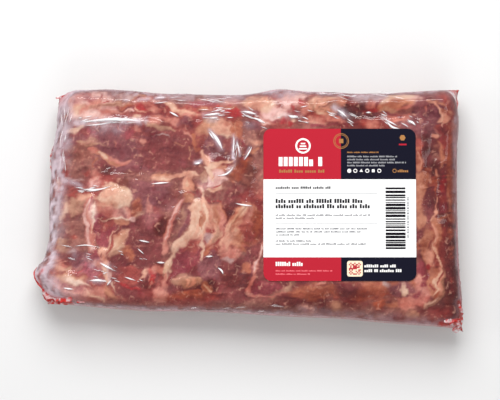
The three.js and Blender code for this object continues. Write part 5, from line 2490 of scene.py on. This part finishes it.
@dataclass
class Print:
    """Flat printed shapes, gathered by ink and laid on the label as thin closed blocks.

    Args:
        sheet: The label's surface.
    """

    sheet: Sheet
    lift: float = 0.05
    root: float = 0.02
    step: float = 6.0
    ring_pieces: int = 32
    stroke: float = 0.76
    word_gap: float = 0.8
    word_lengths: tuple[int, int] = (2, 9)
    stroke_heights: Span = (0.72, 1.0)
    points: dict[Ink, list[Array]] = field(default_factory=dict)
    faces: dict[Ink, list[tuple[int, ...]]] = field(default_factory=dict)

    def prism(self, ink: Ink, outline: Array, level: int = 1) -> None:
        """Prints a convex shape.

        Args:
            ink: Its colour.
            outline: Its corners on the label, counter-clockwise, with x and y last.
            level: How many prints it lies above the paper.
        """
        count = len(outline)
        x, y = outline[:, 0], outline[:, 1]
        low = self.sheet.points(x, y, -self.root)
        high = self.sheet.points(x, y, self.lift * level)
        made = self.points.setdefault(ink, [])
        first = sum(len(block) for block in made)
        made.append(np.concatenate([low, high]))
        faces = self.faces.setdefault(ink, [])
        faces.append(tuple(first + count + k for k in range(count)))
        faces.append(tuple(first + k for k in reversed(range(count))))
        for k in range(count):
            after = (k + 1) % count
            faces.append((first + k, first + after, first + count + after, first + count + k))

    def bar(
        self, ink: Ink, x: float, y: float, width: float, height: float, level: int = 1
    ) -> None:
        """Prints a rectangle, in lengths short enough to follow the paper.

        Args:
            ink: Its colour.
            x: Its left edge.
            y: Its lower edge.
            width: How long it is.
            height: How tall it is.
            level: How many prints it lies above the paper.
        """
        pieces = max(1, math.ceil(width / self.step))
        for k in range(pieces):
            a, b = x + width * k / pieces, x + width * (k + 1) / pieces
            outline = np.array([(a, y), (b, y), (b, y + height), (a, y + height)])
            self.prism(ink, outline, level)

    def disc(self, ink: Ink, centre: Point, radius: float, corners: int = 28) -> None:
        """Prints a disc, or a regular shape with fewer corners.

        Args:
            ink: Its colour.
            centre: Its middle.
            radius: Its size.
            corners: How many corners it has.
        """
        angles = 2 * math.pi * (np.arange(corners) + 0.5) / corners - math.pi / 2
        outline = np.stack([np.cos(angles), np.sin(angles)], -1)
        self.prism(ink, np.array(centre) + radius * outline)

    def ring(self, ink: Ink, centre: Point, radius: float, line: float) -> None:
        """Prints a ring as a loop of short pieces.

        Args:
            ink: Its colour.
            centre: Its middle.
            radius: Its outer radius.
            line: How wide its line is.
        """
        for k in range(self.ring_pieces):
            a, b = (2 * math.pi * (k + end) / self.ring_pieces for end in (0, 1))
            corners = [(radius - line, a), (radius, a), (radius, b), (radius - line, b)]
            outline = [(r * math.cos(w), r * math.sin(w)) for r, w in corners]
            self.prism(ink, np.array(centre) + np.array(outline))

    def words(
        self, ink: Ink, x: float, y: float, width: float, height: float, letter: float, seed: int
    ) -> None:
        """Prints a row of short strokes that reads as a line of small type from a distance.

        Args:
            ink: Its colour.
            x: Where the row starts.
            y: Its lower edge.
            width: How long it is.
            height: How tall the strokes are.
            letter: The width of one stroke.
            seed: Which lengths its words have.
        """
        draw = np.random.default_rng(seed)
        at = x
        while at < x + width - letter:
            for _ in range(draw.integers(*self.word_lengths)):
                if at > x + width - letter:
                    break
                tall = height * draw.choice(self.stroke_heights)
                self.bar(ink, at, y, letter * self.stroke, tall)
                at += letter
            at += letter * self.word_gap

    def build(self) -> list[bpy.types.Object]:
        """Makes one piece of each ink and dresses it.

        Returns:
            The pieces.
        """
        made = []
        for ink, blocks in self.points.items():
            piece = piece_of("label_" + ink.value[0], np.concatenate(blocks), self.faces[ink])
            piece.data.materials.append(ink.finish().material())
            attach(piece, BODY)
            made.append(piece)
        return made


@dataclass
class PaperLabel:
    """The square label: white paper with red and navy bands, and generic print on them.

    Args:
        form: The pack's outer form.
    """

    form: PackForm
    corner: float = 8.0
    thickness: float = 0.3
    gap: float = 0.3
    top_band: float = 50.0
    low_band: float = 23.3
    split: float = 76.2
    corner_steps: int = 6
    longest_step: float = 4
    white: Colour = linear(240, 240, 240)

    def __post_init__(self) -> None:
        """Lays out the paper."""
        self.size = self.form.label_size
        base = self.form.bed_height + self.gap
        self.sheet = Sheet(self.form.label_centre, self.size, base, self.thickness)

    def lines(self, stops: Sequence[float]) -> Array:
        """Lays out grid lines through stops, close together in the corners.

        Args:
            stops: The places that get a line, from the first to the last.

        Returns:
            The places of all the lines.
        """
        made: list[float] = []
        for a, b in zip(stops, stops[1:]):
            in_corner = b - a <= self.corner + TINY
            steps = self.corner_steps if in_corner else math.ceil((b - a) / self.longest_step)
            made += [a + (b - a) * k / steps for k in range(steps)]
        return np.array([*made, stops[-1]])

    def build(self) -> list[bpy.types.Object]:
        """Makes the paper and its print, and dresses them.

        Returns:
            The pieces.
        """
        size, corner = self.size, self.corner
        columns = self.lines((0, corner, self.split, size - corner, size))
        rows = self.lines((0, corner, self.low_band, size - self.top_band, size - corner, size))
        x, y = np.meshgrid(columns, rows)
        half = size / 2
        x, y = rounded_corners(x - half, y - half, (half, half), corner)
        top = self.sheet.points(x + half, y + half)
        bottom = top.copy()
        bottom[..., 2] -= self.thickness
        piece = slab("label_paper", [(top, bottom)])
        paper = PlainFinish("label_paper", self.white)
        for finish in (paper, Ink.RED.finish(), Ink.NAVY.finish()):
            piece.data.materials.append(finish.material())
        self.colour_bands(piece, columns, rows)
        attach(piece, BODY)
        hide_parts("label")
        return [piece, *self.printed().build()]

    def colour_bands(self, piece: bpy.types.Object, columns: Array, rows: Array) -> None:
        """Gives the paper's upper faces the colour of the band that they lie in.

        Args:
            piece: The paper.
            columns: Its grid lines along the label.
            rows: Its grid lines across it.
        """
        across = (columns[:-1] + columns[1:]) / 2
        down = (rows[:-1] + rows[1:]) / 2
        u, v = np.meshgrid(across, down)
        band = (v < self.low_band) | (v > self.size - self.top_band)
        which = np.where(band, np.where(u < self.split, 1, 2), 0).ravel()
        indices = np.zeros(len(piece.data.polygons), np.int32)
        indices[: which.size] = which
        piece.data.polygons.foreach_set("material_index", indices)

    def printed(self) -> Print:
        """Prints the label: an emblem, rows of type, rules, a bar code, small signs and a tile.

        Returns:
            The print.
        """
        ink = Print(self.sheet)
        size = self.size
        # The red band: a plain round emblem, a bold row and a gold row.
        ink.ring(Ink.WHITE, (39, size - 17), 7.6, 1.8)
        for k in range(3):
            ink.bar(Ink.WHITE, 34.8 + k, size - 20.6 + 2.6 * k, 8.4 - 2 * k, 1.4)
        ink.words(Ink.WHITE, 15, size - 37, 48, 9, 5.0, 4)
        ink.words(Ink.GOLD, 15.5, size - 43.4, 46, 3.0, 2.2, 5)
        # The stamp on the line between red and navy.
        ink.ring(Ink.GOLD, (76.6, size - 12.2), 7.6, 0.6)
        ink.ring(Ink.GOLD, (76.6, size - 12.2), 6.2, 0.45)
        ink.disc(Ink.GOLD, (76.6, size - 12.2), 3.0, 4)
        # The navy band: small type, a row of signs and two gold marks.
        ink.disc(Ink.GOLD, (137, size - 9), 3.0, 6)
        ink.bar(Ink.RED, 133.4, size - 16.4, 7.6, 1.6)
        ink.words(Ink.GOLD, 82.5, size - 24, 32, 1.3, 1.1, 6)
        for row, width in enumerate((50, 48, 58, 38)):
            ink.words(Ink.PALE, 82.5, size - 28.2 - 3.0 * row, width, 1.5, 1.15, 7 + row)
        for k in range(6):
            centre = (84.5 + 5.9 * k, size - 41.6)
            if k % 2:
                ink.ring(Ink.WHITE, centre, 2.0, 0.8)
            else:
                ink.disc(Ink.WHITE, centre, 2.0, (28, 3, 4)[k // 2])
        ink.ring(Ink.GOLD, (129, size - 41.6), 2.0, 0.6)
        ink.words(Ink.GOLD, 132, size - 43, 12, 2.6, 1.8, 12)
        self.print_white_field(ink)
        self.print_low_band(ink)
        return ink

    def print_white_field(self, ink: Print) -> None:
        """Prints the rows, rules and bar code of the white field.

        Args:
            ink: The print.
        """
        size = self.size
        ink.words(Ink.BLACK, 12, size - 59.4, 56, 2.4, 1.8, 20)
        for height in (64.2, 93.5):
            ink.bar(Ink.PALE, 12, size - height, 100, 0.5)
        ink.words(Ink.BLACK, 12, size - 73.4, 87, 4.2, 2.6, 21)
        ink.words(Ink.BLACK, 12, size - 78.6, 94, 4.2, 2.6, 22)
        rows = (
            (86.0, 94), (89.0, 38), (99.4, 90), (102.4, 84), (105.4, 24), (111.4, 36), (114.4, 90),
        )
        for row, (height, width) in enumerate(rows):
            ink.words(Ink.GREY, 12, size - height, width, 1.5, 1.25, 30 + row)
        draw = np.random.default_rng(41)
        at = size - 58.0
        while at > size - 118.5:
            thick = float(draw.choice((0.9, 1.3, 1.9, 2.6)))
            ink.bar(Ink.BLACK, 120, at - thick, 19.6, thick)
            at -= thick + float(draw.choice((0.5, 0.7, 1.2)))
        for k in range(26):
            tall = 1.0 + 0.5 * (k % 3 == 1)
            ink.bar(Ink.GREY, 141.0, size - 68.5 - 1.55 * k, 2.1, 0.6 * tall)

    def print_low_band(self, ink: Print) -> None:
        """Prints the rows of the low band, and the rounded tile with its squares.

        Args:
            ink: The print.
        """
        ink.words(Ink.WHITE, 12, 14.8, 28, 4.0, 2.1, 50)
        ink.words(Ink.ROSE, 12, 9.4, 56, 1.3, 1.2, 51)
        ink.words(Ink.ROSE, 12, 6.2, 36, 1.3, 1.2, 52)
        ink.words(Ink.WHITE, 99, 13.4, 32, 2.8, 2.0, 53)
        ink.words(Ink.WHITE, 99, 8.8, 37, 2.8, 2.0, 54)
        left, low, side, corner = 82.0, 4.4, 15.4, 2.2
        outline = [
            (
                left + (corner if k in (1, 2) else side - corner) + corner * math.cos(w),
                low + (corner if k in (2, 3) else side - corner) + corner * math.sin(w),
            )
            for k in range(4)
            for w in (math.pi / 2 * (k + part / 4) for part in range(5))
        ]
        ink.prism(Ink.SAND, np.array(outline))
        draw = np.random.default_rng(60)
        cells, cell, margin, filled = 9, 1.32, 1.8, 0.55
        for row in range(cells):
            for column in range(cells):
                in_corner = (row < 3 or row > 5) and (column < 3 or column > 5)
                if in_corner and (row % 6 == 1) == (column % 6 == 1):
                    continue
                if in_corner or draw.random() < filled:
                    x, y = left + margin + cell * column, low + margin + cell * row
                    ink.bar(Ink.RED, x, y, cell * 0.96, cell * 0.96, 2)


@dataclass(frozen=True)
class Lamp:
    """A soft lamp that looks at the pack.

    Args:
        name: Its name.
        azimuth: Its direction in plan, in degrees from +X towards +Y.
        tilt: How far it leans from straight above, in degrees.
        distance: How far away it hangs, in metres.
        sides: Its width and its depth, in metres.
        radiance: How bright its face is, where 1 is a white paper's.
        glint: Whether it only shows as a glint in the film, and lights nothing else. Any other
            lamp isn't mirrored.
    """

    name: str
    azimuth: float
    tilt: float
    distance: float
    sides: tuple[float, float]
    radiance: float
    glint: bool = False

    def hang(self) -> None:
        """Hangs the lamp in the scene."""
        data = bpy.data.lights.new(self.name, "AREA")
        data.shape = "RECTANGLE"
        data.size, data.size_y = self.sides
        data.energy = self.radiance * math.pi * self.sides[0] * self.sides[1]
        lamp = bpy.data.objects.new(self.name, data)
        bpy.context.scene.collection.objects.link(lamp)
        a, b = math.radians(self.azimuth), math.radians(self.tilt)
        direction = Vector((math.cos(a) * math.sin(b), math.sin(a) * math.sin(b), math.cos(b)))
        lamp.location = direction * self.distance
        lamp.rotation_euler = (-direction).to_track_quat("-Z", "Y").to_euler()
        lamp.visible_glossy = self.glint
        lamp.visible_diffuse = not self.glint


LAMPS = (
    Lamp("soft_key", 94, 37, 1.7, (1.3, 1.2), 6.8),
    Lamp("fill", -80, 50, 2.2, (1.8, 1.4), 1.7),
    Lamp("left_fill", 175, 62, 2.2, (1.2, 1.6), 1.4),
    Lamp("strip", 92, 45, 1.8, (1.5, 0.3), 5, True),
    Lamp("side_glint", 18, 44, 1.8, (0.3, 0.7), 1.6, True),
)


@dataclass(frozen=True)
class Studio:
    """A pale floor, soft lamps and a camera that looks almost straight down."""

    frame_width: float = 497
    aim: Point = (1.0, 9.5)
    focus_height: float = 40.0
    elevation: float = 86.5
    distance: float = 1900.0
    sensor: float = 36.0
    floor_half: float = 3000.0
    floor_colour: Colour = linear(214, 214, 214)
    floor_roughness: float = 0.8
    sky: float = 0.45
    mirrored: Colour = (0.36, 0.26, 0.25)

    def floor(self) -> None:
        """Lays the floor, which nothing mirrors."""
        half = self.floor_half
        corners = np.array([(-half, -half, 0), (half, -half, 0), (half, half, 0), (-half, half, 0)])
        floor = piece_of("floor", corners, [(0, 1, 2, 3)])
        tree = ShaderTree("floor_white")
        surface = tree.surface(self.floor_colour, self.floor_roughness)
        floor.data.materials.append(tree.finish(surface))
        floor.visible_glossy = False

    def lights(self) -> None:
        """Hangs the lamps and sets the sky, with a dimmer one for what the film mirrors."""
        for lamp in LAMPS:
            lamp.hang()
        world = bpy.data.worlds.new("studio_sky")
        world.use_nodes = True
        nodes, links = world.node_tree.nodes, world.node_tree.links
        sky = nodes["Background"]
        sky.inputs[0].default_value = (1.0, 1.0, 1.0, 1.0)
        sky.inputs[1].default_value = self.sky
        mirrored = nodes.new("ShaderNodeBackground")
        mirrored.inputs[0].default_value = (*self.mirrored, 1.0)
        pick = nodes.new("ShaderNodeMixShader")
        links.new(nodes.new("ShaderNodeLightPath").outputs["Is Glossy Ray"], pick.inputs[0])
        links.new(sky.outputs[0], pick.inputs[1])
        links.new(mirrored.outputs[0], pick.inputs[2])
        links.new(pick.outputs[0], nodes["World Output"].inputs[0])
        bpy.context.scene.world = world
        bpy.context.scene.view_settings.view_transform = "Standard"

    def camera(self) -> None:
        """Sets up the camera."""
        data = bpy.data.cameras.new("camera")
        data.sensor_width = self.sensor
        data.lens = self.sensor * self.distance / self.frame_width
        camera = bpy.data.objects.new("camera", data)
        bpy.context.scene.collection.objects.link(camera)
        angle = math.radians(self.elevation)
        target = Vector((*self.aim, self.focus_height))
        back = Vector((0, -math.cos(angle), math.sin(angle)))
        camera.location = (target + back * self.distance) * METRES
        camera.rotation_euler = (-back).to_track_quat("-Z", "Y").to_euler()
        bpy.context.scene.camera = camera


@dataclass
class SealedStriploin:
    """The whole pack, built piece by piece."""

    form: PackForm = field(default_factory=PackForm)

    def build(self) -> None:
        """Builds and reports every piece."""
        grid = FineGrid(self.form)
        loin = Loin(self.form, grid)
        report(loin.build())
        film = ShrinkFilm(self.form, grid, loin).build()
        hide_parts("sealed_striploin")
        report(film)
        report(FilmFolds(self.form, loin).build())
        for piece in PaperLabel(self.form).build():
            report(piece)


def report(piece: bpy.types.Object) -> None:
    """Logs a piece's name and size."""
    LOG.info("%s: %d faces", piece.name, len(piece.data.polygons))


def main() -> None:
    """Loads the frame, and builds the studio and the pack."""
    logging.basicConfig(level=logging.INFO, format="%(name)s %(message)s")
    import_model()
    studio = Studio()
    studio.camera()
    studio.lights()
    studio.floor()
    SealedStriploin().build()


if __name__ == "__main__":
    main()
